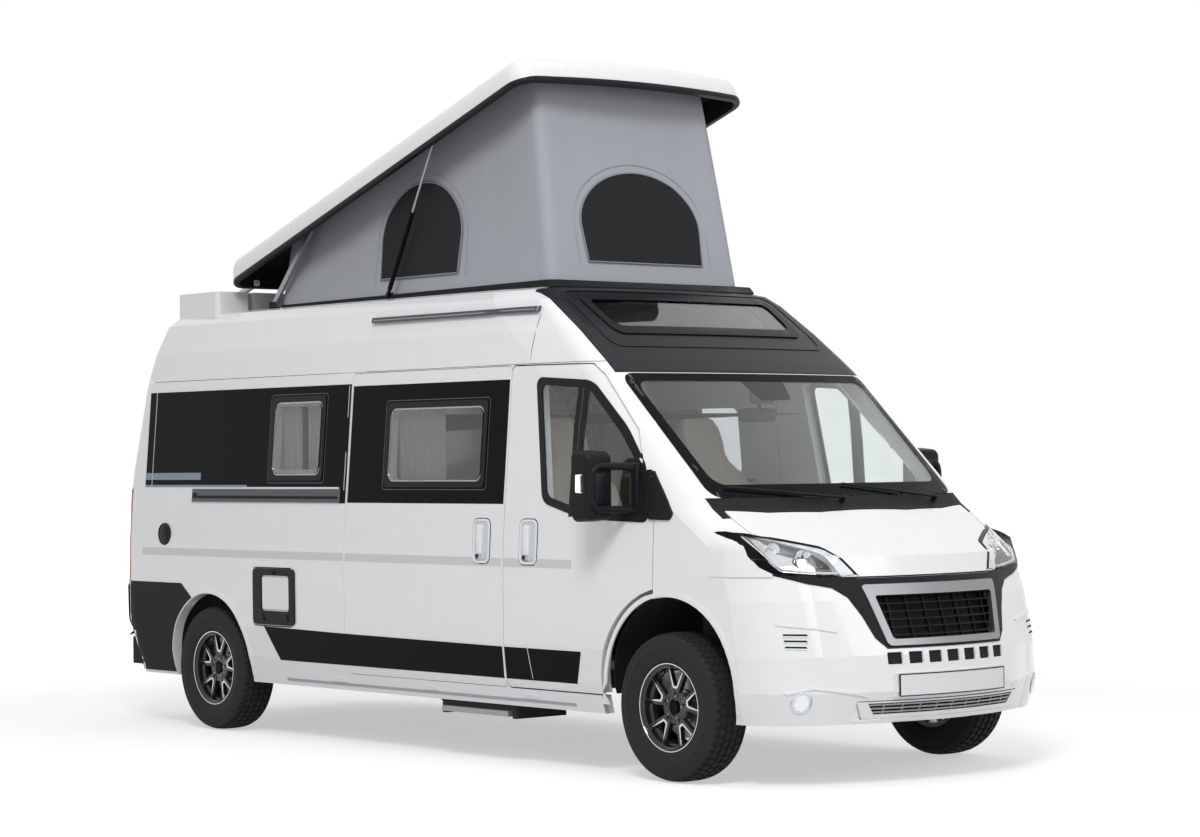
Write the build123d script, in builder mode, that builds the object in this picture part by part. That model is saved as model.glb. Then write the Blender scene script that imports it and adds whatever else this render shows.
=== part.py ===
from build123d import *
import os
from math import atan2, cos, degrees, hypot, radians, sin

os.makedirs("parts", exist_ok=True)

# Camper van with a raised pop-up roof, in millimetres and degrees.
# The front faces -Y, the right-hand side is -X, and the ground is z = 0.

# Driving dimensions
wheelbase = 4035
front_overhang = 948
rear_overhang = 1015
body_width = 2054
roof_height = 2450
wall = 60            # whole thickness of a door or body wall
glass_t = 6
seam = 7             # gap round a door, lid or hatch
joint_gap = 3        # gap between fixed panels
fit = 0.3            # gap where one piece sits in or on another

nose_y = -(front_overhang + wheelbase + rear_overhang) / 2
front_axle_y = nose_y + front_overhang
rear_axle_y = front_axle_y + wheelbase
tail_y = rear_axle_y + rear_overhang
half_width = body_width / 2

# Levels of the body
hull_z = 300
floor_z = 560
floor_t = 40
bonnet_z = 985       # lower edge of the bonnet
bumper_top_z = 1032
belt_z = 1310
gutter_z = roof_height - 403
screen_top_z = roof_height - 452

# Wheels and arches
tyre_r = 360
tyre_w = 225
rim_r = 222
rim_w = 190
front_track = 1810
rear_track = 1790
front_arch_r = 440
rear_arch_r = 415
arch_z = tyre_r + 90     # height of the front arch's centre
rear_arch_z = tyre_r + 20
arch_lip = 45        # metal left between an arch and the front door

# Stations of the side's seams and holes
door_front = front_axle_y + 100
door_rear = front_axle_y + 1242
slide_rear = door_rear + 1408
door_low_z = 395
door_top_z = gutter_z - 8
bumper_rear = nose_y + 500

# Pop-up roof, raised about a pivot in the rear box
raise_deg = 18.5
pivot_y = tail_y - 548
pivot_z = roof_height + 30
lid_half = 800
lid_rear = 390       # from the pivot forward to the lid's rear edge
lid_length = 2940
lid_h = 150
lid_t = 38
lid_lift = -7        # lid's lower edge above the pivot, when closed

# Body sections, from the bottom up. Columns: height, setback of the nose at the centre line,
# start of the front corner (inset from the half width, setback), end of the front corner
# (inset, setback), inset of the side, inset of the tail
sections = [
    (hull_z, 60, 387, 190, 87, 480, 52, 158),
    (450, 0, 347, 170, 52, 470, 17, 128),
    (620, 20, 327, 190, 42, 480, 1, 68),
    (880, 105, 327, 255, 42, 530, 0, 63),
    (1080, 190, 327, 330, 47, 600, 2, 68),
    (belt_z, 640, 237, 735, 42, 930, 17, 68),
    (belt_z + 190, 847, 235, 939, 55, 1119, 34, 73),
    (screen_top_z, 1390, 227, 1480, 97, 1650, 76, 168),
    (gutter_z, 1456, 230, 1540, 104, 1712, 81, 178),
    (roof_height - 233, 1690, 237, 1770, 137, 1930, 102, 238),
    (roof_height - 70, 1930, 257, 2010, 177, 2130, 142, 318),
    (roof_height - 15, 2030, 287, 2100, 227, 2180, 197, 368),
    (roof_height, 2090, 337, 2150, 287, 2230, 257, 408),
]
slope_z = 900        # above this the nose slopes, so an inset also lowers the sections
corner_share = 0.98  # radius of a front corner in plan, as a share of its chord
tail_r = 85          # rear corner in plan
tail_crown = 22      # the rear face bulges at the centre line
shoulder_y = front_axle_y + 480  # where the side reaches its full width, or a run behind the corner
shoulder_run = 300


def body_form(inset, rows=len(sections)):
    """The body's outer form, moved in by an inset, or only its lowest sections."""
    with BuildPart() as form:
        for z, nose, x1, y1, x2, y2, side, tail in sections[:rows]:
            level = z - inset if z > slope_z else z
            cx, cy = half_width - x1 - inset, nose_y + y1 + inset
            ex, ey = half_width - x2 - inset, nose_y + y2 + inset
            w = half_width - side - inset
            ty = tail_y - tail - tail_crown - inset
            sy = max(shoulder_y, ey + shoulder_run)
            corner_r = corner_share * hypot(ex - cx, ey - cy)
            with BuildSketch(Plane.XY.offset(level)):
                with BuildLine():
                    ThreePointArc((-cx, cy), (0, nose_y + nose + inset), (cx, cy))
                    RadiusArc((cx, cy), (ex, ey), -corner_r)
                    Line((ex, ey), (w, sy))
                    Line((w, sy), (w, ty - tail_r))
                    RadiusArc((w, ty - tail_r), (w - tail_r, ty), -tail_r)
                    ThreePointArc((w - tail_r, ty), (0, ty + tail_crown), (tail_r - w, ty))
                    RadiusArc((tail_r - w, ty), (-w, ty - tail_r), -tail_r)
                    Line((-w, ty - tail_r), (-w, sy))
                    Line((-w, sy), (-ex, ey))
                    RadiusArc((-ex, ey), (-cx, cy), -corner_r)
                make_face()
        loft(ruled=True)
    return form.part


def prism(plane, points, depth, radius=0, grow=0):
    """A plate of a closed outline, from its plane to a depth along the plane's normal."""
    with BuildPart() as plate:
        with BuildSketch(plane):
            with BuildLine():
                if radius:
                    FilletPolyline(*points, radius=radius, close=True)
                else:
                    Polyline(*points, close=True)
            make_face()
            if grow:
                offset(amount=grow, kind=Kind.INTERSECTION)
        extrude(amount=depth)
    return plate.part


def block(x0, x1, y0, y1, z0, z1):
    """A box between two corners."""
    with BuildPart() as box:
        with BuildSketch(Plane.XY.offset(z0)):
            with Locations(((x0 + x1) / 2, (y0 + y1) / 2)):
                Rectangle(x1 - x0, y1 - y0)
        extrude(amount=z1 - z0)
    return box.part


def side_prism(side, points, radius=0, grow=0, inboard=868):
    """A zone of one side's wall: side is -1 on the right and 1 on the left."""
    start = inboard if side > 0 else -half_width - 100
    return prism(Plane.YZ.offset(start), points, half_width + 100 - inboard, radius, grow)


def front_prism(points, y0, y1, radius=0, grow=0):
    """A zone seen from the front, from y0 back to y1."""
    return prism(Plane.XZ.offset(-y1), points, y1 - y0, radius, grow)


def drum(side_x, length, y, z, r):
    """A round bar across the body, from side_x on."""
    with BuildPart() as bar:
        with BuildSketch(Plane.YZ.offset(side_x)):
            with Locations((y, z)):
                Circle(r)
        extrude(amount=length)
    return bar.part


def joined(*pieces):
    """Solids of one node, fused where they touch."""
    with BuildPart() as node:
        add(pieces)
    return node.part


def cut(base, *cutters):
    """A piece less the cutters."""
    with BuildPart() as piece:
        add(base)
        add(cutters, mode=Mode.SUBTRACT)
    return piece.part


def common(base, *zones):
    """What a piece shares with each zone."""
    with BuildPart() as piece:
        add(base)
        for zone in zones:
            add(zone, mode=Mode.INTERSECT)
    return piece.part


def main_solids(piece, count):
    """The largest solids of a piece, without crumbs left at the corners of its zones."""
    with BuildPart() as kept:
        for solid in piece.solids().sort_by(SortBy.VOLUME)[-count:]:
            add(solid)
    return kept.part


def mirrored(piece):
    """The same piece on the other side of the body."""
    with BuildPart() as twin:
        mirror(piece, about=Plane.YZ)
    return twin.part


def save(piece, name):
    """Labels a finished piece and writes it."""
    piece.label = name
    export_step(piece, f"parts/{name}.step")


# The hollow hull, its arches cut
outer = body_form(0)
room = body_form(wall + fit)
front_arch = drum(-half_width - 50, body_width + 100, front_axle_y, arch_z, front_arch_r)
rear_arch = drum(-half_width - 50, body_width + 100, rear_axle_y, rear_arch_z, rear_arch_r)
hull = cut(outer, body_form(wall), front_arch, rear_arch)
glass_layer = cut(outer, body_form(glass_t))

# Side outlines in (y, z)
front_door_line = [
    (door_rear, door_low_z), (door_rear, door_top_z), (door_front + 560, door_top_z - 5),
    (door_front + 480, door_top_z - 60), (door_front + 192, belt_z + 385), (door_front, belt_z + 46),
    (door_front, door_low_z),
]
front_window_line = [
    (door_rear - 222, screen_top_z - 38), (door_rear - 317, belt_z + 43), (door_front + 512, belt_z - 35),
    (door_front + 50, belt_z - 48), (door_front + 84, belt_z + 190), (door_front + 256, belt_z + 387),
    (door_front + 530, screen_top_z - 64),
]
slide_door_line = [
    (door_rear, door_low_z), (door_rear, door_top_z), (slide_rear, door_top_z), (slide_rear, door_low_z),
]


def oblong(y0, y1, z0, z1):
    """The four corners of an upright rectangle."""
    return [(y0, z0), (y0, z1), (y1, z1), (y1, z0)]


def mirror_line(points):
    """A closed outline from its right half, listed from the bottom up."""
    return points + [(-x, v) for x, v in reversed(points)]


# Zones seen from the front, in (x, z), and from above, in (x, y)
lamp_line = [(540, 988), (985, 1018), (half_width + 30, 1030), (half_width + 30, 1205), (900, 1205),
             (780, 1165), (600, 1095)]
grille_line = mirror_line([(395, 655), (530, 955)])
screen_line = mirror_line([(835, belt_z + 52), (835, screen_top_z - 14)])
cowl_line = mirror_line([(862, belt_z - 42), (862, belt_z + 50)])
visor_line = mirror_line([(846, screen_top_z - 8), (805, roof_height + 20)])
skylight_line = mirror_line([(620, roof_height - 233), (640, roof_height - 62)])
bonnet_line = mirror_line([(500, nose_y), (610, nose_y + 300), (812, nose_y + 560), (824, nose_y + 650),
                           (824, nose_y + 735), (600, nose_y + 660), (300, nose_y + 612)])
rear_door_line = mirror_line([(925, 515), (925, belt_z + 40), (862, gutter_z + 60),
                              (800, roof_height - 175)])
rear_window_line = [(150, belt_z + 110), (780, belt_z + 110), (765, screen_top_z - 10),
                    (150, screen_top_z - 10)]

nose_end = front_axle_y + 1300
screen_end = nose_y + 1700
lamp_end = nose_y + 665


def bonnet_zone(grow=0):
    return prism(Plane.XY.offset(bonnet_z - grow), bonnet_line, 400, 0, grow)


def lamp_zones(grow=0):
    right = front_prism([(-x, z) for x, z in lamp_line], nose_y - 50, lamp_end + grow, 0, grow)
    return joined(right, mirrored(right))


def grille_zone(grow=0):
    return front_prism(grille_line, nose_y - 50, nose_y + 450, 25, grow)


def cowl_zone(grow=0):
    return front_prism(cowl_line, nose_y + 500, nose_y + 1150, 0, grow)


def screen_zone(grow=0):
    return front_prism(screen_line, nose_y + 500, screen_end, 60, grow)


def visor_zone(grow=0):
    return front_prism(visor_line, nose_y + 1200, nose_y + 2170, 0, grow)


def rear_door_zone(grow=0):
    return front_prism(rear_door_line, tail_y - 500, tail_y + 50, 25, grow)


def tail_lamp_zones(grow=0):
    lamp = front_prism(oblong(-half_width - 50, -937, 852, 1417), tail_y - 165, tail_y + 50, 0, grow)
    return joined(lamp, mirrored(lamp))


# Front bumper, with a slotted row and a lower grille hole
bumper_block = block(-half_width - 50, half_width + 50, nose_y - 50, bumper_rear, 0, bumper_top_z)
slot_w = 90
slot_pitch = 118
slot_n = 7
slot_low_z = 572
slot_high_z = 636
slots = []
for i in range(slot_n):
    x = (i - (slot_n - 1) / 2) * slot_pitch
    slots.append(block(x - slot_w / 2, x + slot_w / 2, nose_y - 50, nose_y + 400, slot_low_z, slot_high_z))
lower_hole = front_prism(mirror_line([(520, 318), (560, 408)]), nose_y - 50, nose_y + 400, 12)
fog_x = 800
fog_z = 410
fog_r = 42


def fog_zone(grow=0):
    with BuildPart() as fogs:
        with BuildSketch(Plane.XZ.offset(-(nose_y + 600))):
            with Locations((-fog_x, fog_z), (fog_x, fog_z)):
                Circle(fog_r + grow)
        extrude(amount=700)
    return fogs.part


front_bumper = cut(common(hull, bumper_block), grille_zone(joint_gap), lamp_zones(joint_gap), lower_hole,
                   bonnet_zone(seam / 2), fog_zone(fit), *slots)

# Grille: a frame with a grid of bars
trim_t = 40
grille_in = 42
grille_bars_z = [705 + 38 * i for i in range(6)]
grille_bars_x = [-330 + 110 * i for i in range(7)]
bar_t = 9
nose_rows = 6        # sections up to the belt
front_skin = common(cut(body_form(0, nose_rows), body_form(trim_t, nose_rows)),
                    block(-half_width, half_width, nose_y, lamp_end + 50, 0, belt_z))
grille_face = common(front_skin, grille_zone())
grille_hole = front_prism(grille_line, nose_y - 50, nose_y + 450, 20, -grille_in)
bars = []
for z in grille_bars_z:
    bars.append(block(-half_width, half_width, nose_y - 50, nose_y + 450, z - bar_t / 2, z + bar_t / 2))
for x in grille_bars_x:
    bars.append(block(x - bar_t / 2, x + bar_t / 2, nose_y - 50, nose_y + 450, 600, 1000))
grille_frame = cut(grille_face, grille_hole)
grille_grid = common(front_skin, grille_hole, joined(*bars))

# Lower grille: a slotted plate in the bumper's hole, with the number plate's holder above it
lower_grille_zone = front_prism(mirror_line([(520, 318), (560, 408)]), nose_y - 50, nose_y + 400, 12, -fit)
lower_slots = []
for row_z in (338, 362, 386):
    for i in range(11):
        x = (i - 5) * 92
        lower_slots.append(block(x - 38, x + 38, nose_y - 50, nose_y + 400, row_z - 7, row_z + 7))
lower_grille = cut(common(front_skin, lower_grille_zone), *lower_slots)
save(joined(grille_frame, grille_grid, lower_grille), "grille")

plate_w = 740
plate_h = 114
plate_z = 478
plate_t = 14
plate = common(cut(body_form(-plate_t, nose_rows), outer),
               front_prism(oblong(-plate_w / 2, plate_w / 2, plate_z - plate_h / 2, plate_z + plate_h / 2),
                           nose_y - 100, nose_y + 300))
save(joined(front_bumper, plate), "front_bumper")

# Lamps
save(joined(common(front_skin, lamp_zones()), common(front_skin, fog_zone())), "front_lamps")
save(common(hull, tail_lamp_zones()), "tail_lamps")

# Bonnet, cowl, windscreen and the dark visor over it with its skylight
bonnet_t = 24
bonnet_skin = cut(body_form(0, nose_rows + 1), body_form(bonnet_t, nose_rows + 1))
bonnet = cut(common(bonnet_skin, bonnet_zone(-seam / 2)), lamp_zones(seam), grille_zone(seam))
save(main_solids(bonnet, 1), "bonnet")
save(cut(common(hull, cowl_zone()), bonnet_zone(seam / 2)), "cowl")
skylight_zone = front_prism(skylight_line, nose_y + 1400, nose_y + 2100, 45)
skylight_fit = front_prism(skylight_line, nose_y + 1400, nose_y + 2100, 45, -fit)
save(cut(common(hull, visor_zone()), skylight_zone), "roof_visor")
save(joined(common(glass_layer, screen_zone(-fit)), common(glass_layer, skylight_fit)), "front_glass")

# Front doors, each with its window, handle recess and mirror
door_cut = drum(-half_width - 50, body_width + 100, front_axle_y, arch_z, front_arch_r + arch_lip)
edge_skin = 14       # behind its skin a swinging door is smaller all round, to clear the frame
edge_step = 8
behind_skin = body_form(edge_skin)
for side, word in ((-1, "right"), (1, "left")):
    door_skin = common(hull, side_prism(side, front_door_line, 30, -seam / 2))
    door_edge = cut(behind_skin, side_prism(side, front_door_line, 30, -seam / 2 - edge_step))
    window_hole = side_prism(side, front_window_line, 28)
    save(cut(door_skin, door_edge, door_cut, window_hole), f"front_door_{word}")
    save(common(glass_layer, side_prism(side, front_window_line, 28, -fit)), f"door_glass_{word}")

# Mirrors: an arm from the door's front corner and a tall shell
mirror_y = nose_y + 1310
mirror_z = 1425
mirror_x = half_width + 125
mirror_w = 190
mirror_h = 350
mirror_d = 120
for side, word in ((-1, "right"), (1, "left")):
    with BuildPart() as shell:
        with BuildSketch(Plane.XZ.offset(-(mirror_y + mirror_d / 2))):
            with Locations((side * mirror_x, mirror_z)):
                RectangleRounded(mirror_w, mirror_h, 45)
        extrude(amount=mirror_d, taper=9)
    foot_x = half_width - 20
    arm = block(min(side * foot_x, side * (mirror_x - 60)), max(side * foot_x, side * (mirror_x - 60)),
                mirror_y - 70, mirror_y + 40, mirror_z - 150, mirror_z - 105)
    glass_side = cut(arm, outer)
    save(joined(shell.part, glass_side), f"mirror_{word}")

# Sliding door and the windows
slide_window = oblong(nose_y + 2406, nose_y + 3217, belt_z + 144, belt_z + 522)
rear_side_window = oblong(nose_y + 3875, nose_y + 4335, belt_z + 180, belt_z + 578)
kitchen_window = oblong(nose_y + 2500, nose_y + 3311, belt_z + 144, belt_z + 522)
hatch_line = oblong(nose_y + 4112, nose_y + 4497, 631, 960)

window_t = 26        # hinged acrylic windows stand a little proud of the wall
window_proud = 8
window_corner = 45
slide_door = common(hull, side_prism(-1, slide_door_line, 30, -joint_gap / 2))
save(cut(slide_door, side_prism(-1, slide_window, window_corner)), "sliding_door")

pane_out = body_form(-window_proud)
pane_in = body_form(window_t - window_proud)
pane_layer = cut(pane_out, pane_in)


def pane(line):
    """A window's pane in the left wall."""
    return common(pane_layer, side_prism(1, line, window_corner, -fit))


panes = [pane(kitchen_window), pane(rear_side_window)]
panes += [mirrored(pane(slide_window)), mirrored(pane(rear_side_window))]
save(joined(*panes), "side_windows")

# Side walls: what is left of each side of the hull
shell_rest = cut(hull, bumper_block, bonnet_zone(seam / 2), lamp_zones(joint_gap), grille_zone(joint_gap),
                     cowl_zone(joint_gap), screen_zone(), visor_zone(joint_gap), rear_door_zone(seam / 2),
                     tail_lamp_zones(joint_gap),
                     side_prism(-1, front_door_line, 30, seam / 2), side_prism(1, front_door_line, 30, seam / 2),
                     side_prism(-1, slide_door_line, 30, joint_gap / 2),
                     side_prism(-1, slide_window, window_corner),
                     side_prism(-1, rear_side_window, window_corner),
                     side_prism(1, kitchen_window, window_corner),
                     side_prism(1, rear_side_window, window_corner),
                     side_prism(-1, hatch_line, 12, seam / 2))
wing_top_z = belt_z - 45
wing_block = block(-half_width - 50, half_width + 50, bumper_rear - 10, door_front + 400, 0, wing_top_z)
roof_block = block(-half_width, half_width, nose_y + 1300, tail_y, gutter_z, roof_height + 50)
roof_hole_half = 560
roof_hole_y0 = pivot_y - 3040
roof_hole_y1 = pivot_y - 1650
roof_hole = block(-roof_hole_half, roof_hole_half, roof_hole_y0, roof_hole_y1, roof_height - 200,
                  roof_height + 50)
save(main_solids(common(shell_rest, wing_block), 1), "front_wings")
save(main_solids(cut(common(shell_rest, roof_block), roof_hole), 1), "roof_panel")
for side, word in ((-1, "right"), (1, "left")):
    x0, x1 = sorted((0, side * (half_width + 50)))
    half = block(x0, x1, nose_y, tail_y + 50, 0, gutter_z - joint_gap)
    save(main_solids(cut(common(shell_rest, half), wing_block), 1), f"side_wall_{word}")

# Rear doors with their windows
hull_rear = common(hull, block(-half_width, half_width, tail_y - 480, tail_y, 0, roof_height))
glass_rear = common(glass_layer, block(-half_width, half_width, tail_y - 480, tail_y, 0, roof_height))
door_low = 500
door_high = roof_height - 150
gap_low = 10         # gap between the rear doors, wider towards the top and on the inside, where they swing
gap_high = 24
outer_gap = front_prism(mirror_line([(gap_low / 2, door_low), (gap_high / 2, door_high)]),
                        tail_y - 480, tail_y + 50)
inner_line = mirror_line([(gap_low / 2 + edge_step, door_low), (gap_high / 2 + edge_step, door_high)])
inner_gap = common(front_prism(inner_line,
                               tail_y - 480, tail_y + 50), behind_skin)
rear_doors = cut(common(hull_rear, rear_door_zone(-seam / 2)), outer_gap, inner_gap)
for side, word in ((-1, "right"), (1, "left")):
    x0, x1 = sorted((0, side * half_width))
    line = [(side * x, z) for x, z in rear_window_line]
    hole = front_prism(line, tail_y - 400, tail_y + 50, 50)
    half = common(rear_doors, block(x0, x1, tail_y - 480, tail_y, 0, roof_height))
    save(cut(half, hole), f"rear_door_{word}")
    save(common(glass_rear, front_prism(line, tail_y - 400, tail_y + 50, 50, -fit)), f"rear_glass_{word}")

# Rear bumper with a step along its top
step_low_z = 345
step_h = 160
step_half = half_width - 60
step_front = tail_y - 240
rear_bumper_line = [(-step_half, step_front), (-step_half, tail_y - 75), (90 - step_half, tail_y),
                    (step_half - 90, tail_y), (step_half, tail_y - 75), (step_half, step_front)]
rear_bumper = prism(Plane.XY.offset(step_low_z), rear_bumper_line, step_h, 30)
save(cut(rear_bumper, outer), "rear_bumper")

# Service hatch in the right wall, hinged along its lower edge
save(common(hull, side_prism(-1, hatch_line, 12, -seam / 2)), "service_hatch")

# Floor, wheel houses, firewall and dashboard
house_t = 8
house_gap = 12
house_in = 505       # from the centre line to a wheel house's inner wall
house_out = half_width - wall - 3
room_front = nose_y + 1225
room_rear = tail_y - 195
floor_block = block(-half_width, half_width, room_front, room_rear, floor_z - floor_t, floor_z)
houses = []
house_cuts = []
for y, z, r in ((front_axle_y, arch_z, front_arch_r), (rear_axle_y, rear_arch_z, rear_arch_r)):
    r_in = r + house_gap
    r_out = r_in + house_t
    low = hull_z + 100
    house = cut(drum(house_in, house_out - house_in, y, z, r_out),
                drum(house_in + house_t, 1000, y, z, r_in),
                block(0, half_width, y - 800, y + 800, 0, low))
    house = common(room, house)
    houses += [house, mirrored(house)]
    grown = drum(house_in - joint_gap, half_width, y, z, r_out + joint_gap)
    house_cuts += [grown, mirrored(grown)]
save(joined(*houses), "wheel_houses")
floor_plate = cut(common(room, floor_block), *house_cuts)

firewall_t = 30
rail_x = 400
rail_z = 452
firewall = common(room, block(-half_width, half_width, room_front - firewall_t, room_front,
                                 rail_z + 25 + fit, belt_z - 95))
save(joined(floor_plate, cut(firewall, *house_cuts)), "floor_pan")

dash_line = [(room_front - 340, belt_z - 62), (room_front - 330, belt_z - 18),
             (room_front + 60, belt_z + 5), (room_front + 200, belt_z - 70),
             (room_front + 210, belt_z - 210), (room_front + 150, belt_z - 420),
             (room_front + fit, belt_z - 420), (room_front + fit, belt_z - 62)]
dash = prism(Plane.YZ.offset(-half_width), dash_line, body_width, 20)

# Seats, a table-side bench, kitchen, bed and wardrobe
seat_x = 480
seat_w = 500
seat_y = door_rear - 480
seat_z = 930
seat_line = [(0, -110), (-10, 40), (60, 85), (330, 45), (420, 70), (560, 560), (585, 680), (600, 860),
             (680, 860), (690, 690), (650, 500), (560, -20), (540, -110)]
seats = []
for x in (-seat_x, seat_x):
    with BuildPart() as seat:
        with BuildSketch(Plane.YZ.offset(x - seat_w / 2)):
            with BuildLine():
                FilletPolyline(*[(seat_y + y, seat_z + z) for y, z in seat_line], radius=22, close=True)
            make_face()
        extrude(amount=seat_w)
        with BuildSketch(Plane.XZ.offset(-(seat_y + 800))):
            for dx in (-1, 1):
                with BuildLine():
                    Polyline((x + dx * seat_w / 2, seat_z + 950), (x + dx * seat_w / 2, seat_z + 470),
                             (x + dx * 130, seat_z + 700), (x + dx * 130, seat_z + 950), close=True)
                make_face()
        extrude(amount=900, mode=Mode.SUBTRACT)
    seats.append(seat.part)
base_z0 = floor_z + fit
bases = []
for x in (-seat_x, seat_x):
    bases.append(block(x - 190, x + 190, seat_y + 60, seat_y + 480, base_z0, seat_z - 110 - fit))
save(joined(*seats, *bases), "cab_seats")

bench_y = slide_rear + 30
kitchen = block(370, half_width, door_rear + 330, slide_rear + 60, base_z0, base_z0 + 900)
bed = block(-half_width, half_width, slide_rear + 700, room_rear, base_z0, base_z0 + 640)
bench = block(-half_width, -330, bench_y, bench_y + 560, base_z0, base_z0 + 480)
tall = block(520, half_width, slide_rear + 75, slide_rear + 690, base_z0, gutter_z - 60)
save(cut(common(room, bed), *house_cuts), "rear_bed")
save(common(room, bench), "bench_seat")
save(joined(common(room, kitchen), common(room, tall)), "cabinets")

# Engine, chassis rails, tanks and exhaust
save(block(-330, 330, nose_y + 445, nose_y + 905, 430, 930), "engine_block")
rails = []
for x in (-rail_x, rail_x):
    rails.append(block(x - 35, x + 35, nose_y + 330, tail_y - 260, rail_z - 45, rail_z + 25))
for y in (nose_y + 360, front_axle_y + 620, rear_axle_y - 1200, rear_axle_y + 620):
    rails.append(block(-rail_x, rail_x, y, y + 70, rail_z - 35, rail_z + 20))
jack_pad_w = 70
jack_pad_t = 12
for y in (front_axle_y + 655, rear_axle_y - 1165):
    for x in (-rail_x, rail_x):
        rails.append(block(x - jack_pad_w / 2, x + jack_pad_w / 2, y - jack_pad_w / 2, y + jack_pad_w / 2,
                           rail_z - 45 - jack_pad_t, rail_z - 45))
tank_y = front_axle_y + 1700
fuel_tank = block(-330, 330, tank_y, tank_y + 700, 300, floor_z - floor_t - fit)
water_tank = block(rail_x + 60, rail_x + 400, tank_y + 100, tank_y + 900, 290, floor_z - floor_t - fit)
save(joined(fuel_tank, water_tank, *rails), "chassis")


# Front subframe with lower arms and struts, and the rear axle on its leaf springs
king_x = front_track / 2 - 105
stub_r = 27
hub_x = 40           # from the wheel's centre plane out to the hub's face
arm_z = 262
front_frame = [block(-420, 420, front_axle_y - 90, front_axle_y + 110, 285, rail_z - 45)]
for side in (-1, 1):
    x0, x1 = sorted((side * 400, side * (king_x - 8)))
    front_frame.append(block(x0, x1, front_axle_y - 45, front_axle_y + 45, 268, 298))
    with BuildPart() as strut:
        with BuildSketch(Plane.XY.offset(298)):
            with Locations((side * (king_x - 110), front_axle_y)):
                Circle(30)
        extrude(amount=arch_z + front_arch_r + house_gap - 298 - 8)
        with BuildSketch(Plane.XY.offset(520)):
            with Locations((side * (king_x - 110), front_axle_y)):
                Circle(62)
        extrude(amount=300)
    front_frame.append(strut.part)
save(joined(*front_frame), "front_subframe")

for side, word in ((-1, "right"), (1, "left")):
    with BuildPart() as knuckle:
        with BuildSketch(Plane.XY.offset(298 + fit)):
            with Locations((side * (king_x - 22), front_axle_y)):
                RectangleRounded(44, 90, 12)
        extrude(amount=160)
        with BuildSketch(Plane.YZ.offset(side * (king_x - 10))):
            with Locations((front_axle_y, tyre_r)):
                Circle(stub_r)
        extrude(amount=side * (front_track / 2 + hub_x - king_x))
    save(knuckle.part, f"knuckle_{word}")

spring_x = rail_x
spring_half = 640
leaf_t = 26
axle_z = tyre_r - 30
spring_top = rail_z - 45 - fit
spring_line = [(-spring_half, spring_top), (-spring_half, spring_top - leaf_t), (0, axle_z + 22),
               (spring_half, spring_top - leaf_t), (spring_half, spring_top), (0, axle_z + 22 + leaf_t)]
with BuildPart() as rear_axle:
    for x in (-spring_x, spring_x):
        with BuildSketch(Plane.YZ.offset(x - 30)):
            with BuildLine():
                Polyline(*[(rear_axle_y + y, z) for y, z in spring_line], close=True)
            make_face()
        extrude(amount=60)
    with BuildSketch(Plane.YZ.offset(-rear_track / 2 + 95)):
        with Locations((rear_axle_y, axle_z)):
            Rectangle(80, 70)
    extrude(amount=rear_track - 190)
    with BuildSketch(Plane.YZ.offset(-rear_track / 2 - hub_x)):
        with Locations((rear_axle_y, tyre_r)):
            Circle(stub_r)
    extrude(amount=rear_track + 2 * hub_x)
save(rear_axle.part, "rear_axle")

# Wheels: tyre and spoked rim at each corner
seat_r = 203         # tyre's seat on the rim
barrel_t = 12
hub_r = 72
spoke_w = 26
spoke_t = 22
spoke_n = 5
spoke_spread = 13    # half the angle between a pair of spokes
tyre_line = [(-rim_w / 2 + 6, seat_r + fit), (-rim_w / 2 + 6, seat_r + 14), (-tyre_w / 2, 292),
             (-tyre_w / 2 + 9, 340), (-tyre_w / 2 + 26, tyre_r - 3), (0, tyre_r)]
tyre_line = tyre_line + [(-x, r) for x, r in reversed(tyre_line[:-1])]
barrel_line = [(-rim_w / 2, seat_r - barrel_t), (-rim_w / 2, rim_r - 6), (-rim_w / 2 + 5, rim_r - 6),
               (-rim_w / 2 + 5, seat_r), (rim_w / 2 - 5, seat_r), (rim_w / 2 - 5, rim_r - 6),
               (rim_w / 2, rim_r - 6), (rim_w / 2, seat_r - barrel_t)]
for place, y, track in (("front", front_axle_y, front_track), ("rear", rear_axle_y, rear_track)):
    for side, word in ((-1, "right"), (1, "left")):
        centre = (side * track / 2, y, tyre_r)
        section = Plane(origin=centre, x_dir=(side, 0, 0), z_dir=(0, -side, 0))
        spin = Axis(centre, (1, 0, 0))
        with BuildPart() as tyre:
            with BuildSketch(section):
                with BuildLine():
                    Polyline(*tyre_line, close=True)
                make_face()
            revolve(axis=spin)
        save(tyre.part, f"tyre_{place}_{word}")
        with BuildPart() as rim:
            with BuildSketch(section):
                with BuildLine():
                    Polyline(*barrel_line, close=True)
                make_face()
            revolve(axis=spin)
            face = Plane(origin=(centre[0] + side * hub_x, y, tyre_r), x_dir=(0, 1, 0), z_dir=(side, 0, 0))
            with BuildSketch(face):
                Circle(hub_r)
                for turn in (-spoke_spread, spoke_spread):
                    with PolarLocations((hub_r + seat_r) / 2 - 8, spoke_n, start_angle=90 + turn):
                        Rectangle(seat_r - hub_r + 10, spoke_w)
            extrude(amount=spoke_t)
            with BuildSketch(face.offset(-60)):
                Circle(hub_r)
            extrude(amount=60)
            with BuildSketch(face.offset(-60)):
                Circle(stub_r + 0.06)
            extrude(amount=60, mode=Mode.SUBTRACT)
        save(rim.part, f"rim_{place}_{word}")

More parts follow.
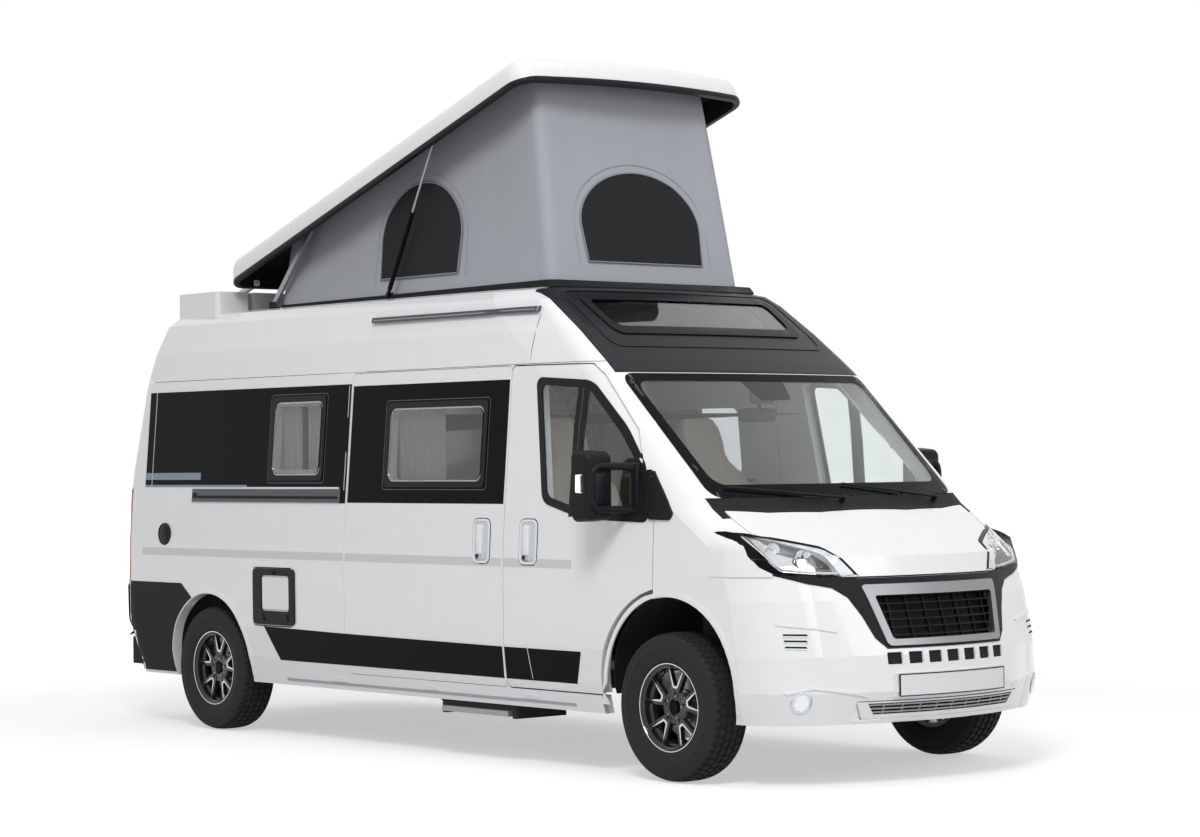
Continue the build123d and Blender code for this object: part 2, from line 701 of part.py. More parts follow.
# Steering wheel on its column, in front of the left seat
wheel_tilt = 48      # column's rise towards the driver
steer_y = room_front + 330
steer_z = belt_z - 60
steer_r = 185
steer_dir = (0, cos(radians(wheel_tilt)), sin(radians(wheel_tilt)))
steer_plane = Plane(origin=(seat_x, steer_y, steer_z), x_dir=(1, 0, 0), z_dir=steer_dir)
with BuildPart() as steering:
    with BuildSketch(Plane(origin=(seat_x, steer_y, steer_z), x_dir=(1, 0, 0),
                           z_dir=(0, -steer_dir[2], steer_dir[1]))):
        with Locations((steer_r, 0)):
            Circle(15)
    revolve(axis=Axis((seat_x, steer_y, steer_z), steer_dir))
    with BuildSketch(steer_plane.offset(-45)):
        Circle(62)
    extrude(amount=40)
    with BuildSketch(steer_plane.offset(-30)):
        for turn in (0, 180, 270):
            with Locations(Location((0, 0, 0), turn)):
                with Locations((steer_r / 2, 0)):
                    Rectangle(steer_r, 34)
    extrude(amount=16)
save(steering.part, "steering_wheel")
with BuildPart() as column:
    with BuildSketch(steer_plane.offset(-45 - fit)):
        Circle(40)
    extrude(amount=-260)
save(joined(common(room, dash), cut(column.part, dash)), "dashboard")


# Step under the sliding door, in its housing
step_y0 = door_rear + 20
step_y1 = step_y0 + 560
step_z = 240
step_t = 28
step_out = half_width - 40
step_in = half_width - 360
housing = joined(block(-step_out + 30, -step_in + 40, step_y0 - 34, step_y1 + 34, step_z + step_t + fit,
                       step_z + step_t + 26),
                 block(-step_out + 30, -step_in + 40, step_y0 - 34, step_y0 - fit, step_z - 12,
                       step_z + step_t + 26),
                 block(-step_out + 30, -step_in + 40, step_y1 + fit, step_y1 + 34, step_z - 12,
                       step_z + step_t + 26),
                 block(-step_in - 20, -step_in + 40, step_y0 + 60, step_y0 + 120, step_z + step_t + 26,
                       floor_z - floor_t - fit),
                 block(-step_in - 20, -step_in + 40, step_y1 - 120, step_y1 - 60, step_z + step_t + 26,
                       floor_z - floor_t - fit))
save(housing, "step_housing")
save(block(-step_out, -step_in, step_y0, step_y1, step_z, step_z + step_t), "door_step")

# Roof: rear box with the pivots, coaming, lid, tent, struts and arms
strap_x = 620
strap_w = 30
pin_r = 8
eye_r = 18
box_front = pivot_y - 345
box_rear = pivot_y + 150
box_h = 120
box_half = 860
rear_box = prism(Plane.XY.offset(roof_height - 40), [(-box_half, box_front), (-box_half + 20, box_rear - 40),
                 (-box_half + 120, box_rear), (box_half - 120, box_rear), (box_half - 20, box_rear - 40),
                 (box_half, box_front)], box_h + 40, 30)
slot_side = strap_w / 2 + 6
slots_cut = []
pins = []
for side in (-1, 1):
    x = side * strap_x
    slots_cut.append(block(x - slot_side, x + slot_side, box_front - 50, pivot_y + eye_r + 8,
                           pivot_z - eye_r - 6, roof_height + box_h + 50))
    pins.append(drum(x - slot_side - 5, 2 * slot_side + 10, pivot_y, pivot_z, pin_r))
save(joined(cut(rear_box, outer, *slots_cut), *pins), "rear_roof_box")

coaming_h = 14
coaming_half = 685
coaming_y0 = pivot_y - 3262
coaming_y1 = pivot_y - 690
frame_w = 50
z0 = roof_height + fit
coaming = cut(block(-coaming_half, coaming_half, coaming_y0, coaming_y1, z0, z0 + coaming_h),
              block(frame_w - coaming_half, coaming_half - frame_w, coaming_y0 + frame_w, coaming_y1 - frame_w,
                    z0 - 10, z0 + 50))

rise = radians(raise_deg)
lid_plane = Plane(origin=(0, pivot_y, pivot_z), x_dir=(1, 0, 0), z_dir=(0, sin(rise), cos(rise)))
lid_y0 = -lid_rear - lid_length


def lid_side(x):
    """A plane along the lid, at x: its first axis runs back along the lid, its second up through it."""
    return Plane(origin=(x, pivot_y, pivot_z), x_dir=(0, cos(rise), -sin(rise)), z_dir=(1, 0, 0))


strap_low = lid_lift
strap_high = lid_lift + 30
with BuildPart() as lid:
    with BuildSketch(lid_plane.offset(lid_lift)):
        with Locations((0, lid_y0 + lid_length / 2)):
            RectangleRounded(2 * lid_half, lid_length, 110)
    extrude(amount=lid_h)
    chamfer(lid.faces().sort_by(Axis((0, 0, 0), lid_plane.z_dir))[-1].edges(), length=40)
    with BuildSketch(lid_plane.offset(lid_lift)):
        with Locations((0, lid_y0 + lid_length / 2)):
            RectangleRounded(2 * (lid_half - lid_t), lid_length - 2 * lid_t, 80)
    extrude(amount=lid_h - lid_t, mode=Mode.SUBTRACT)
    for side in (-1, 1):
        with BuildSketch(lid_side(side * strap_x - strap_w / 2)):
            Circle(eye_r)
            with Locations((-lid_rear / 2 - 40, (strap_low + strap_high) / 2)):
                Rectangle(lid_rear + 80, strap_high - strap_low)
        extrude(amount=strap_w)
        with BuildSketch(lid_side(side * strap_x - strap_w / 2 - 1)):
            Circle(pin_r + 0.05)
        extrude(amount=strap_w + 2, mode=Mode.SUBTRACT)
save(lid.part, "pop_roof")


def lid_point(run, up, angle):
    """A point of the lid in (y, z), when the lid stands at an angle."""
    a = radians(angle)
    return pivot_y + run * cos(a) + up * sin(a), pivot_z - run * sin(a) + up * cos(a)


# Tent between the coaming and the lid's ceiling
tent_half = 670
tent_top_half = 600
cloth_t = 10
tent_y0 = pivot_y - 3240
tent_y1 = pivot_y - 710
tent_z = z0 + coaming_h + fit
ceiling = lid_lift + lid_h - lid_t - fit
tent_top_y0 = -3225
tent_top_y1 = -790


def tent_form(inset):
    """The tent as a solid wedge, moved in by an inset."""
    with BuildPart() as wedge:
        with BuildSketch(Plane.XY.offset(tent_z)):
            with Locations((0, (tent_y0 + tent_y1) / 2)):
                Rectangle(2 * (tent_half - inset), tent_y1 - tent_y0 - 2 * inset)
        with BuildSketch(lid_plane.offset(ceiling)):
            with Locations((0, (tent_top_y0 + tent_top_y1) / 2)):
                Rectangle(2 * (tent_top_half - inset), tent_top_y1 - tent_top_y0 - 2 * inset)
        loft(ruled=True)
    return wedge.part


save(cut(tent_form(0), tent_form(cloth_t)), "tent")

# Gas struts: a cylinder on a roof bracket and a rod to the lid
gas_x = 740
gas_r = 13
rod_r = 7
gas_low = (pivot_y - 1894, roof_height + 25)
gas_lid = (-2469, 30)
gas_top = lid_point(*gas_lid, raise_deg)
gas_len = hypot(gas_top[0] - gas_low[0], gas_top[1] - gas_low[1])
cylinder_len = 500
eye_len = 36
rod_start = 475


def along(x, start, end):
    """A plane at x whose first axis runs from one point to another in (y, z)."""
    a = atan2(end[1] - start[1], end[0] - start[0])
    return Plane(origin=(x, start[0], start[1]), x_dir=(0, cos(a), sin(a)), z_dir=(1, 0, 0))


def across(x, start, end, run):
    """A plane square to the line between two points, at a distance along it."""
    a = atan2(end[1] - start[1], end[0] - start[0])
    return Plane(origin=(x, start[0] + run * cos(a), start[1] + run * sin(a)), x_dir=(1, 0, 0),
                 z_dir=(0, cos(a), sin(a)))


arm_x = 703
arm_t = 20
arm_w = 40
arm_low = (pivot_y - 717, roof_height + 30)
arm_lid = (-1167, 37.6)
arm_top = lid_point(*arm_lid, raise_deg)
arm_len = hypot(arm_top[0] - arm_low[0], arm_top[1] - arm_low[1])
brackets = []
for side, word in ((-1, "right"), (1, "left")):
    x = side * gas_x
    with BuildPart() as cylinder:
        with BuildSketch(across(x, gas_low, gas_top, eye_len)):
            Circle(gas_r)
        extrude(amount=cylinder_len - eye_len)
        with BuildSketch(across(x, gas_low, gas_top, 90)):
            Circle(rod_r + 0.05)
        extrude(amount=cylinder_len, mode=Mode.SUBTRACT)
        with BuildSketch(along(x - 6, gas_low, gas_top)):
            Circle(14)
            with Locations((eye_len / 2, 0)):
                Rectangle(eye_len, 16)
        extrude(amount=12)
        with BuildSketch(along(x - 7, gas_low, gas_top)):
            Circle(5.05)
        extrude(amount=14, mode=Mode.SUBTRACT)
    save(cylinder.part, f"strut_cylinder_{word}")
    with BuildPart() as rod:
        with BuildSketch(across(x, gas_low, gas_top, rod_start)):
            Circle(rod_r)
        extrude(amount=gas_len - rod_start - 8)
        with BuildSketch(along(x - 6, gas_low, gas_top)):
            with Locations((gas_len, 0)):
                Circle(12)
        extrude(amount=12)
    save(rod.part, f"strut_rod_{word}")
    with BuildPart() as arm:
        with BuildSketch(along(side * arm_x - arm_t / 2, arm_low, arm_top)):
            Circle(arm_w / 2)
            with Locations((arm_len / 2, 0)):
                Rectangle(arm_len, arm_w - 8)
            with Locations((arm_len, 0)):
                Circle(arm_w / 2)
        extrude(amount=arm_t)
        with BuildSketch(along(side * arm_x - arm_t / 2 - 1, arm_low, arm_top)):
            Circle(pin_r + 0.05)
        extrude(amount=arm_t + 2, mode=Mode.SUBTRACT)
    save(arm.part, f"roof_arm_{word}")
    foot0, foot1 = sorted((side * (gas_x - 16), side * (gas_x - 8.5)))
    pin0, pin1 = sorted((side * (gas_x - 10), side * (gas_x + 7)))
    foot = joined(block(foot0, foot1, gas_low[0] - 30, gas_low[0] + 30, z0, gas_low[1] + 14),
                  drum(pin0, pin1 - pin0, *gas_low, 5))
    a0, a1 = sorted((side * (arm_x + arm_t / 2 + 1), side * (arm_x + arm_t / 2 + 8)))
    p0, p1 = sorted((side * (arm_x - arm_t / 2 - 2), side * (arm_x + arm_t / 2 + 4)))
    arm_foot = joined(block(a0, a1, arm_low[0] - 30, arm_low[0] + 30, z0, arm_low[1] + 14),
                      drum(p0, p1 - p0, *arm_low, pin_r))
    brackets += [foot, arm_foot]
save(joined(coaming, *brackets), "roof_frame")

gas_shut = lid_point(*gas_lid, 0)
arm_shut = lid_point(arm_lid[0] - 105, arm_lid[1] - 8, 0)
gas_turn = degrees(atan2(gas_top[1] - gas_low[1], gas_low[0] - gas_top[0])
                   - atan2(gas_shut[1] - gas_low[1], gas_low[0] - gas_shut[0]))
gas_stroke = gas_len - hypot(gas_shut[0] - gas_low[0], gas_shut[1] - gas_low[1])
arm_turn = degrees(atan2(arm_top[1] - arm_low[1], arm_low[0] - arm_top[0])
                   - atan2(arm_shut[1] - arm_low[1], arm_low[0] - arm_shut[0]))
print(f"strut turns {gas_turn:.2f} degrees and shortens {gas_stroke:.1f} mm")
print(f"arm turns {arm_turn:.2f} degrees")
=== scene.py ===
import math

import bmesh
import bpy
from mathutils import Matrix, Vector
from mathutils.bvhtree import BVHTree


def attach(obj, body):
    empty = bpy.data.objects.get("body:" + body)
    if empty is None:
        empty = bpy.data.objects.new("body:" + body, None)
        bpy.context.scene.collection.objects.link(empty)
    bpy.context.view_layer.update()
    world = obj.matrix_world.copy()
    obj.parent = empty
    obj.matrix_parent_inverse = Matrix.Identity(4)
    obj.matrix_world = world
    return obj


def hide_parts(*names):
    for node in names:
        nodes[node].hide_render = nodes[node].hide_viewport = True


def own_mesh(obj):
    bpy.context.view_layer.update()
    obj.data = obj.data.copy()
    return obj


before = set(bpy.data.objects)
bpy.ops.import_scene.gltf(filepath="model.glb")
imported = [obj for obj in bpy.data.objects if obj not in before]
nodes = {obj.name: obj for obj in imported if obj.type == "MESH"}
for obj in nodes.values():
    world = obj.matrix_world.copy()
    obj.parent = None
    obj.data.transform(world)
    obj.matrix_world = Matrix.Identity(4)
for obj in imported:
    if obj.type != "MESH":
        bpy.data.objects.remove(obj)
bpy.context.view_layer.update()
scene = bpy.context.scene
noseY = -2.999  # the van's nose: places along its side are counted back from here
sides = (("right", -1), ("left", 1))
print("frame loaded with", len(nodes), "nodes")

# Finishes, one line each: slot, colour, roughness, grain (how fine the pattern is, 1/m), how far the colour
# wanders, depth of the grain, and what else differs
finishes = {
    "whitePaint": ("white_paint", (0.80, 0.81, 0.82), 0.22, 9, 0.012, 0.004, {"coat": 0.6}),
    # white paint darkened to grey: painted shade for the pressed groove along the side
    "swagePaint": ("white_paint", (0.60, 0.605, 0.62), 0.3, 9, 0.012, 0.004, {"coat": 0.3}),
    "blackGloss": ("mirror_black", (0.0030, 0.0033, 0.0045), 0.20, 14, 0.1, 0.002, {"shine": 0.05}),
    "blackSatin": ("black_plastic", (0.010, 0.0105, 0.012), 0.40, 420, 0.15, 0.05, {"shine": 0.12}),
    "blackGrain": ("black_plastic", (0.014, 0.0145, 0.016), 0.62, 900, 0.2, 0.16, {"shine": 0.12}),
    "fairingPaint": ("dark_paint", (0.010, 0.011, 0.014), 0.34, 260, 0.12, 0.03,
                     {"coat": 0.04, "shine": 0.14}),
    "bandStripe": ("grey_steel", (0.20, 0.24, 0.30), 0.3, 80, 0.05, 0.01, {}),
    # pale grey lines and plates; in the door handles' dishes it is painted shade for the recess
    "paleStripe": ("white_plastic", (0.62, 0.64, 0.67), 0.35, 80, 0.04, 0.01, {}),
    "railMetal": ("grey_steel", (0.075, 0.08, 0.09), 0.36, 300, 0.12, 0.03, {"metal": 0.7}),
    "silverTrim": ("alloy", (0.27, 0.275, 0.285), 0.38, 500, 0.06, 0.02, {"metal": 0.9}),
    "chrome": ("alloy", (0.78, 0.79, 0.80), 0.08, 60, 0.02, 0.003, {"metal": 1.0}),
    "zincSteel": ("grey_steel", (0.30, 0.31, 0.33), 0.42, 240, 0.18, 0.06, {"metal": 0.8}),
    "underbody": ("dark_paint", (0.020, 0.020, 0.021), 0.7, 120, 0.35, 0.25, {"shine": 0.25}),
    "castIron": ("cast_grey", (0.045, 0.045, 0.046), 0.62, 160, 0.3, 0.3, {"metal": 0.5}),
    "alloyCut": ("alloy", (0.62, 0.63, 0.65), 0.22, 380, 0.06, 0.02, {"metal": 1.0}),
    "wheelBlack": ("wheel_black", (0.013, 0.013, 0.015), 0.2, 200, 0.12, 0.01,
                   {"coat": 0.5, "shine": 0.25}),
    "discSteel": ("cast_grey", (0.33, 0.33, 0.34), 0.35, 700, 0.15, 0.05, {"metal": 0.9}),
    "tyreRubber": ("tyre", (0.020, 0.020, 0.021), 0.78, 190, 0.3, 0.12, {"shine": 0.25}),
    "tentCloth": ("tent_cloth", (0.38, 0.39, 0.425), 0.85, 700, 0.08, 0.12, {"shine": 0.2, "weave": 1400}),
    "tentPiping": ("tent_cloth", (0.24, 0.25, 0.27), 0.8, 1200, 0.2, 0.2, {}),
    "meshNet": ("tent_cloth", (0.016, 0.017, 0.019), 0.9, 2200, 0.5, 0.5, {"shine": 0.25}),
    "whitePlastic": ("white_plastic", (0.78, 0.79, 0.80), 0.3, 30, 0.015, 0.005, {"coat": 0.2}),
    "wood": ("light_wood", (0.46, 0.36, 0.25), 0.45, 40, 0.3, 0.04, {}),
    "carpet": ("cushion_cloth", (0.12, 0.115, 0.11), 0.95, 1500, 0.4, 0.5, {}),
    "cushion": ("cushion_cloth", (0.40, 0.36, 0.31), 0.9, 900, 0.2, 0.3, {"weave": 900}),
    "leather": ("seat_leather", (0.60, 0.50, 0.42), 0.5, 520, 0.08, 0.18, {}),
    "curtain": ("cushion_cloth", (0.50, 0.46, 0.40), 0.9, 1400, 0.12, 0.3, {"weave": 1100}),
    "dashSkin": ("black_plastic", (0.040, 0.042, 0.046), 0.6, 1100, 0.2, 0.25, {"shine": 0.25}),
    "plateWhite": ("white_plastic", (0.74, 0.75, 0.76), 0.4, 50, 0.02, 0.01, {}),
    "redLens": ("red_lamp", (0.42, 0.010, 0.013), 0.24, 60, 0.15, 0.03, {"coat": 0.1, "shine": 0.3}),
    "amberLens": ("red_lamp", (0.75, 0.25, 0.03), 0.2, 60, 0.05, 0.02, {"coat": 0.5}),
}
glasses = {
    "windowGlass": dict(slot="clear_glass", colour=(0.87, 0.91, 0.91), rough=0.01, vary=0.02),
    "acrylic": dict(slot="clear_glass", colour=(0.60, 0.61, 0.63), rough=0.02, vary=0.03),
    "lensClear": dict(slot="lamp_glass", colour=(0.97, 0.98, 0.99), rough=0.015, vary=0.01),
}
looks = {}


# A material with its shader and a noise that reads Object coordinates.
def socketed(name):
    material = bpy.data.materials.new(name)
    material.use_nodes = True
    tree = material.node_tree
    shader = tree.nodes["Principled BSDF"]
    place = tree.nodes.new("ShaderNodeTexCoord")
    noise = tree.nodes.new("ShaderNodeTexNoise")
    noise.inputs["Detail"].default_value = 4
    tree.links.new(place.outputs["Object"], noise.inputs["Vector"])
    return material, tree, shader, noise


# Sends the noise to a number socket, between two values.
def shadeRange(tree, noise, low, high, socket):
    spread = tree.nodes.new("ShaderNodeMapRange")
    spread.inputs["From Min"].default_value = 0.3
    spread.inputs["From Max"].default_value = 0.7
    spread.inputs["To Min"].default_value = low
    spread.inputs["To Max"].default_value = high
    tree.links.new(noise.outputs["Fac"], spread.inputs["Value"])
    tree.links.new(spread.outputs["Result"], socket)
    return spread


# Sends the noise to a colour socket, between a darker and a lighter shade.
def shadeColour(tree, noise, colour, vary, socket):
    ramp = tree.nodes.new("ShaderNodeValToRGB")
    ramp.color_ramp.elements[0].position = 0.3
    ramp.color_ramp.elements[1].position = 0.7
    ramp.color_ramp.elements[0].color = tuple(c * (1 - vary) for c in colour) + (1,)
    ramp.color_ramp.elements[1].color = tuple(min(1, c * (1 + vary)) for c in colour) + (1,)
    tree.links.new(noise.outputs["Fac"], ramp.inputs["Fac"])
    tree.links.new(ramp.outputs["Color"], socket)
    return ramp


def addBump(tree, shader, source, height, distance=0.002):
    bump = tree.nodes.new("ShaderNodeBump")
    bump.inputs["Strength"].default_value = height
    bump.inputs["Distance"].default_value = distance
    tree.links.new(source, bump.inputs["Height"])
    tree.links.new(bump.outputs["Normal"], shader.inputs["Normal"])
    return bump


# Crossed threads of a cloth, over the bump that is there.
def addWeave(tree, shader, under, scale):
    place = next(n for n in tree.nodes if n.type == "TEX_COORD")
    threads = []
    for way in ("X", "Z"):
        wave = tree.nodes.new("ShaderNodeTexWave")
        wave.bands_direction = way
        wave.inputs["Scale"].default_value = scale / 6.3
        wave.inputs["Distortion"].default_value = 0.6
        tree.links.new(place.outputs["Object"], wave.inputs["Vector"])
        threads.append(wave)
    cross = tree.nodes.new("ShaderNodeMath")
    cross.operation = "MULTIPLY"
    tree.links.new(threads[0].outputs["Fac"], cross.inputs[0])
    tree.links.new(threads[1].outputs["Fac"], cross.inputs[1])
    bump = tree.nodes.new("ShaderNodeBump")
    bump.inputs["Strength"].default_value = 0.25
    bump.inputs["Distance"].default_value = 0.0008
    tree.links.new(cross.outputs[0], bump.inputs["Height"])
    tree.links.new(under.outputs["Normal"], bump.inputs["Normal"])
    tree.links.new(bump.outputs["Normal"], shader.inputs["Normal"])


for name, (slot, colour, rough, grain, vary, bump, extra) in finishes.items():
    material, tree, shader, noise = socketed(name)
    noise.inputs["Scale"].default_value = grain
    shadeColour(tree, noise, colour, vary, shader.inputs["Base Color"])
    shadeRange(tree, noise, rough * 0.9, rough * 1.1, shader.inputs["Roughness"])
    bumped = addBump(tree, shader, noise.outputs["Fac"], bump)
    if "weave" in extra:
        addWeave(tree, shader, bumped, extra["weave"])
    shader.inputs["Metallic"].default_value = extra.get("metal", 0)
    shader.inputs["Coat Weight"].default_value = extra.get("coat", 0)
    shader.inputs["Coat Roughness"].default_value = 0.04
    shader.inputs["Specular IOR Level"].default_value = extra.get("shine", 0.5)
    looks[name] = (material, slot)

for name, f in glasses.items():
    material, tree, shader, noise = socketed(name)
    noise.inputs["Scale"].default_value = 6
    shadeColour(tree, noise, f["colour"], f["vary"], shader.inputs["Base Color"])
    shadeRange(tree, noise, f["rough"], f["rough"] * 1.5, shader.inputs["Roughness"])
    shader.inputs["Transmission Weight"].default_value = 1
    shader.inputs["IOR"].default_value = 1.45
    looks[name] = (material, f["slot"])
print("finishes made:", len(looks))


# Turns a bmesh into a piece of the van with its finish, riding on a body.
def finishPiece(name, bm, look, body="root", smooth=35, merge=0.00002, outward=True):
    if merge:
        bmesh.ops.remove_doubles(bm, verts=bm.verts, dist=merge)
    if outward:
        bmesh.ops.recalc_face_normals(bm, faces=bm.faces)
    mesh = bpy.data.meshes.new(name)
    bm.to_mesh(mesh)
    bm.free()
    mesh.shade_smooth()
    mesh.set_sharp_from_angle(angle=math.radians(smooth))
    mesh.materials.append(looks[look][0])
    piece = bpy.data.objects.new(name, mesh)
    scene.collection.objects.link(piece)
    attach(piece, body)
    return piece


def bevelEdges(bm, edges, offset, segments):
    bmesh.ops.bevel(bm, geom=edges, offset=offset, segments=segments, profile=0.5, affect="EDGES",
                    material=-1)


# Adds a box between two corners, with its edges rounded.
def boxPiece(bm, low, high, bevel=0, segments=2):
    size = [b - a for a, b in zip(low, high)]
    mid = [(a + b) / 2 for a, b in zip(low, high)]
    made = bmesh.ops.create_cube(bm, size=1, matrix=Matrix.Translation(mid) @ Matrix.Diagonal((*size, 1)))
    if bevel:
        edges = list({e for v in made["verts"] for e in v.link_edges})
        bevelEdges(bm, edges, bevel, segments)
    return made["verts"]


# Adds a round bar from one point to another.
def rodPiece(bm, start, end, radius, segments=16, capped=True, radiusEnd=None):
    start, end = Vector(start), Vector(end)
    turn = (end - start).to_track_quat("Z", "Y").to_matrix().to_4x4()
    middle = Matrix.Translation((start + end) / 2) @ turn
    last = radius if radiusEnd is None else radiusEnd
    return bmesh.ops.create_cone(bm, cap_ends=capped, segments=segments, radius1=radius, radius2=last,
                                 depth=(end - start).length, matrix=middle)["verts"]


# Spins a line of (across, radius) points round an axis through a centre.
def lathe(bm, profile, centre, steps=48, axis=(1, 0, 0)):
    centre, axis = Vector(centre), Vector(axis).normalized()
    out = axis.orthogonal().normalized()
    line = [bm.verts.new(centre + axis * a + out * r) for a, r in profile]
    edges = [bm.edges.new(pair) for pair in zip(line, line[1:])]
    bmesh.ops.spin(bm, geom=line + edges, cent=centre, axis=axis, angle=math.tau, steps=steps,
                   use_merge=True, use_duplicate=False)


# A flat closed outline as (a, b) pairs with its corners rounded.
def rounded(points, radius, steps=5):
    flat = bmesh.new()
    corners = [flat.verts.new((a, b, 0)) for a, b in points]
    flat.faces.new(corners)
    bmesh.ops.bevel(flat, geom=corners, offset=radius, segments=steps, profile=0.5, affect="VERTICES",
                    material=-1)
    flat.faces.ensure_lookup_table()
    line = [(v.co.x, v.co.y) for v in flat.faces[0].verts]
    flat.free()
    return line


# The body's outer skin, which trims are laid on
skinNodes = ["side_wall_right", "side_wall_left", "sliding_door", "front_door_right", "front_door_left",
             "front_wings", "front_bumper", "bonnet", "cowl", "roof_panel", "roof_visor", "rear_door_right",
             "rear_door_left", "front_glass", "door_glass_right", "door_glass_left", "front_lamps",
             "tail_lamps", "grille", "rear_glass_right", "rear_glass_left", "service_hatch"]
skinVerts, skinFaces = [], []
for name in skinNodes:
    start = len(skinVerts)
    mesh = nodes[name].data
    skinVerts += [v.co.copy() for v in mesh.vertices]
    skinFaces += [[start + i for i in p.vertices] for p in mesh.polygons]
skin = BVHTree.FromPolygons(skinVerts, skinFaces)


# A closed loop of edges through points.
def ringOf(bm, points):
    ring = [bm.verts.new(p) for p in points]
    return ring, [bm.edges.new((ring[i - 1], ring[i])) for i in range(len(ring))]


# Skins a row of loops, from the first to the last.
def bridgeRings(bm, rings, closed=False):
    pairs = list(zip(rings, rings[1:])) + ([(rings[-1], rings[0])] if closed else [])
    for one, two in pairs:
        bmesh.ops.bridge_loops(bm, edges=one[1] + two[1])


# Where a line through a point, along a direction from outside, meets the body's skin. Lines beside it
# keep it from falling through a gap between two panels.
def onSkin(point, way, spread=0.009):
    way = Vector(way)
    lead = max(range(3), key=lambda i: abs(way[i]))
    found = []
    for a, b in ((0, 0), (spread, 0), (-spread, 0), (0, spread), (0, -spread)):
        beside = Vector(((0, a, b), (a, 0, b), (a, b, 0))[lead])
        hit = skin.ray_cast(Vector(point) + beside - way * 5, way)[0]
        if hit is not None:
            found.append(((hit - Vector(point)).dot(way), a == 0 and b == 0))
    if not found:
        return None
    depths = sorted(d for d, middle in found)
    usual = depths[(len(depths) - 1) // 2]
    own = [d for d, middle in found if middle]
    depth = own[0] if own and abs(own[0] - usual) < 0.02 else usual
    return Vector(point) + way * depth


# A thin trim of a closed outline that follows the body's skin. The outline is in the plane across way:
# (y, z) seen from a side, (x, z) seen from the front or rear, (x, y) from above. hole is an inner
# outline.
def layPanel(name, outline, way, proud, depth, look, body="root", radius=0, cell=0.12, hole=None,
             bevel=0.0015, smooth=35, follow=None):
    way = Vector(way)
    flat = {0: lambda a, b: (0, a, b), 1: lambda a, b: (a, 0, b), 2: lambda a, b: (a, b, 0)}
    lead = max(range(3), key=lambda i: abs(way[i]))
    place = flat[lead]
    line = rounded(outline, radius) if radius else outline
    bm = bmesh.new()
    rim = [bm.verts.new(place(a, b)) for a, b in line]
    if hole:
        inner = [bm.verts.new(place(a, b)) for a, b in hole]
        outerEdges = [bm.edges.new((rim[i - 1], rim[i])) for i in range(len(rim))]
        innerEdges = [bm.edges.new((inner[i - 1], inner[i])) for i in range(len(inner))]
        bmesh.ops.triangle_fill(bm, use_beauty=True, edges=outerEdges + innerEdges)
    else:
        bm.faces.new(rim)
    low = [min(v.co[i] for v in bm.verts) for i in range(3)]
    high = [max(v.co[i] for v in bm.verts) for i in range(3)]
    for i in range(3):
        if i == lead:
            continue
        count = int((high[i] - low[i]) / cell)
        for k in range(1, count + 1):
            at = Vector((0, 0, 0))
            at[i] = low[i] + (high[i] - low[i]) * k / (count + 1)
            across = Vector((0, 0, 0))
            across[i] = 1
            bmesh.ops.bisect_plane(bm, geom=bm.verts[:] + bm.edges[:] + bm.faces[:], plane_co=at,
                                   plane_no=across)
    last = onSkin(Vector([(a + b) / 2 for a, b in zip(low, high)]), way)
    if last is None and not follow:
        last = next(hit for hit in (onSkin(v.co, way) for v in bm.verts) if hit is not None)
    for v in bm.verts:
        hit = follow(v.co) if follow else onSkin(v.co, way)
        if hit is None:
            hit = skin.find_nearest(v.co + way * (last - v.co).dot(way))[0]
        v.co[lead] = hit[lead] - way[lead] * proud
        normal = skin.find_nearest(hit)[1] if proud > 0 and not follow else None
        if normal is not None and abs(normal[lead]) > 0.2:
            v.co = hit + normal * math.copysign(proud, -normal.dot(way))
    made = bmesh.ops.extrude_face_region(bm, geom=bm.faces[:])
    inner = [g for g in made["geom"] if isinstance(g, bmesh.types.BMVert)]
    bmesh.ops.translate(bm, verts=inner, vec=way * depth)
    if bevel:
        bmesh.ops.recalc_face_normals(bm, faces=bm.faces)
        edges = [e for e in bm.edges if len(e.link_faces) == 2 and e.calc_face_angle(0) > 1.2
                 and all(not v in inner for v in e.verts)]
        bmesh.ops.bevel(bm, geom=edges, offset=bevel, segments=1, profile=0.5, affect="EDGES", material=-1,
                        clamp_overlap=True)
    return finishPiece(name, bm, look, body, smooth)


# Adds a round cord that follows a line of points.
def tubeAlong(bm, points, radius, segments=10, closed=False):
    points = [Vector(p) for p in points]
    count = len(points)
    rings = []
    for i, p in enumerate(points):
        before = points[i - 1] if closed or i else p
        after = points[(i + 1) % count] if closed or i < count - 1 else p
        way = (after - before).normalized()
        across = way.to_track_quat("Z", "Y").to_matrix().to_4x4()
        ring = bmesh.ops.create_circle(bm, segments=segments, radius=radius,
                                       matrix=Matrix.Translation(p) @ across)
        rings.append(ring["verts"])
    pairs = list(zip(rings, rings[1:])) + ([(rings[-1], rings[0])] if closed else [])
    for a, b in pairs:
        ringEdges = [e for e in bm.edges if (e.verts[0] in a and e.verts[1] in a)
                     or (e.verts[0] in b and e.verts[1] in b)]
        bmesh.ops.bridge_loops(bm, edges=ringEdges)
    if not closed:
        for ring in (rings[0], rings[-1]):
            bm.faces.new(ring)


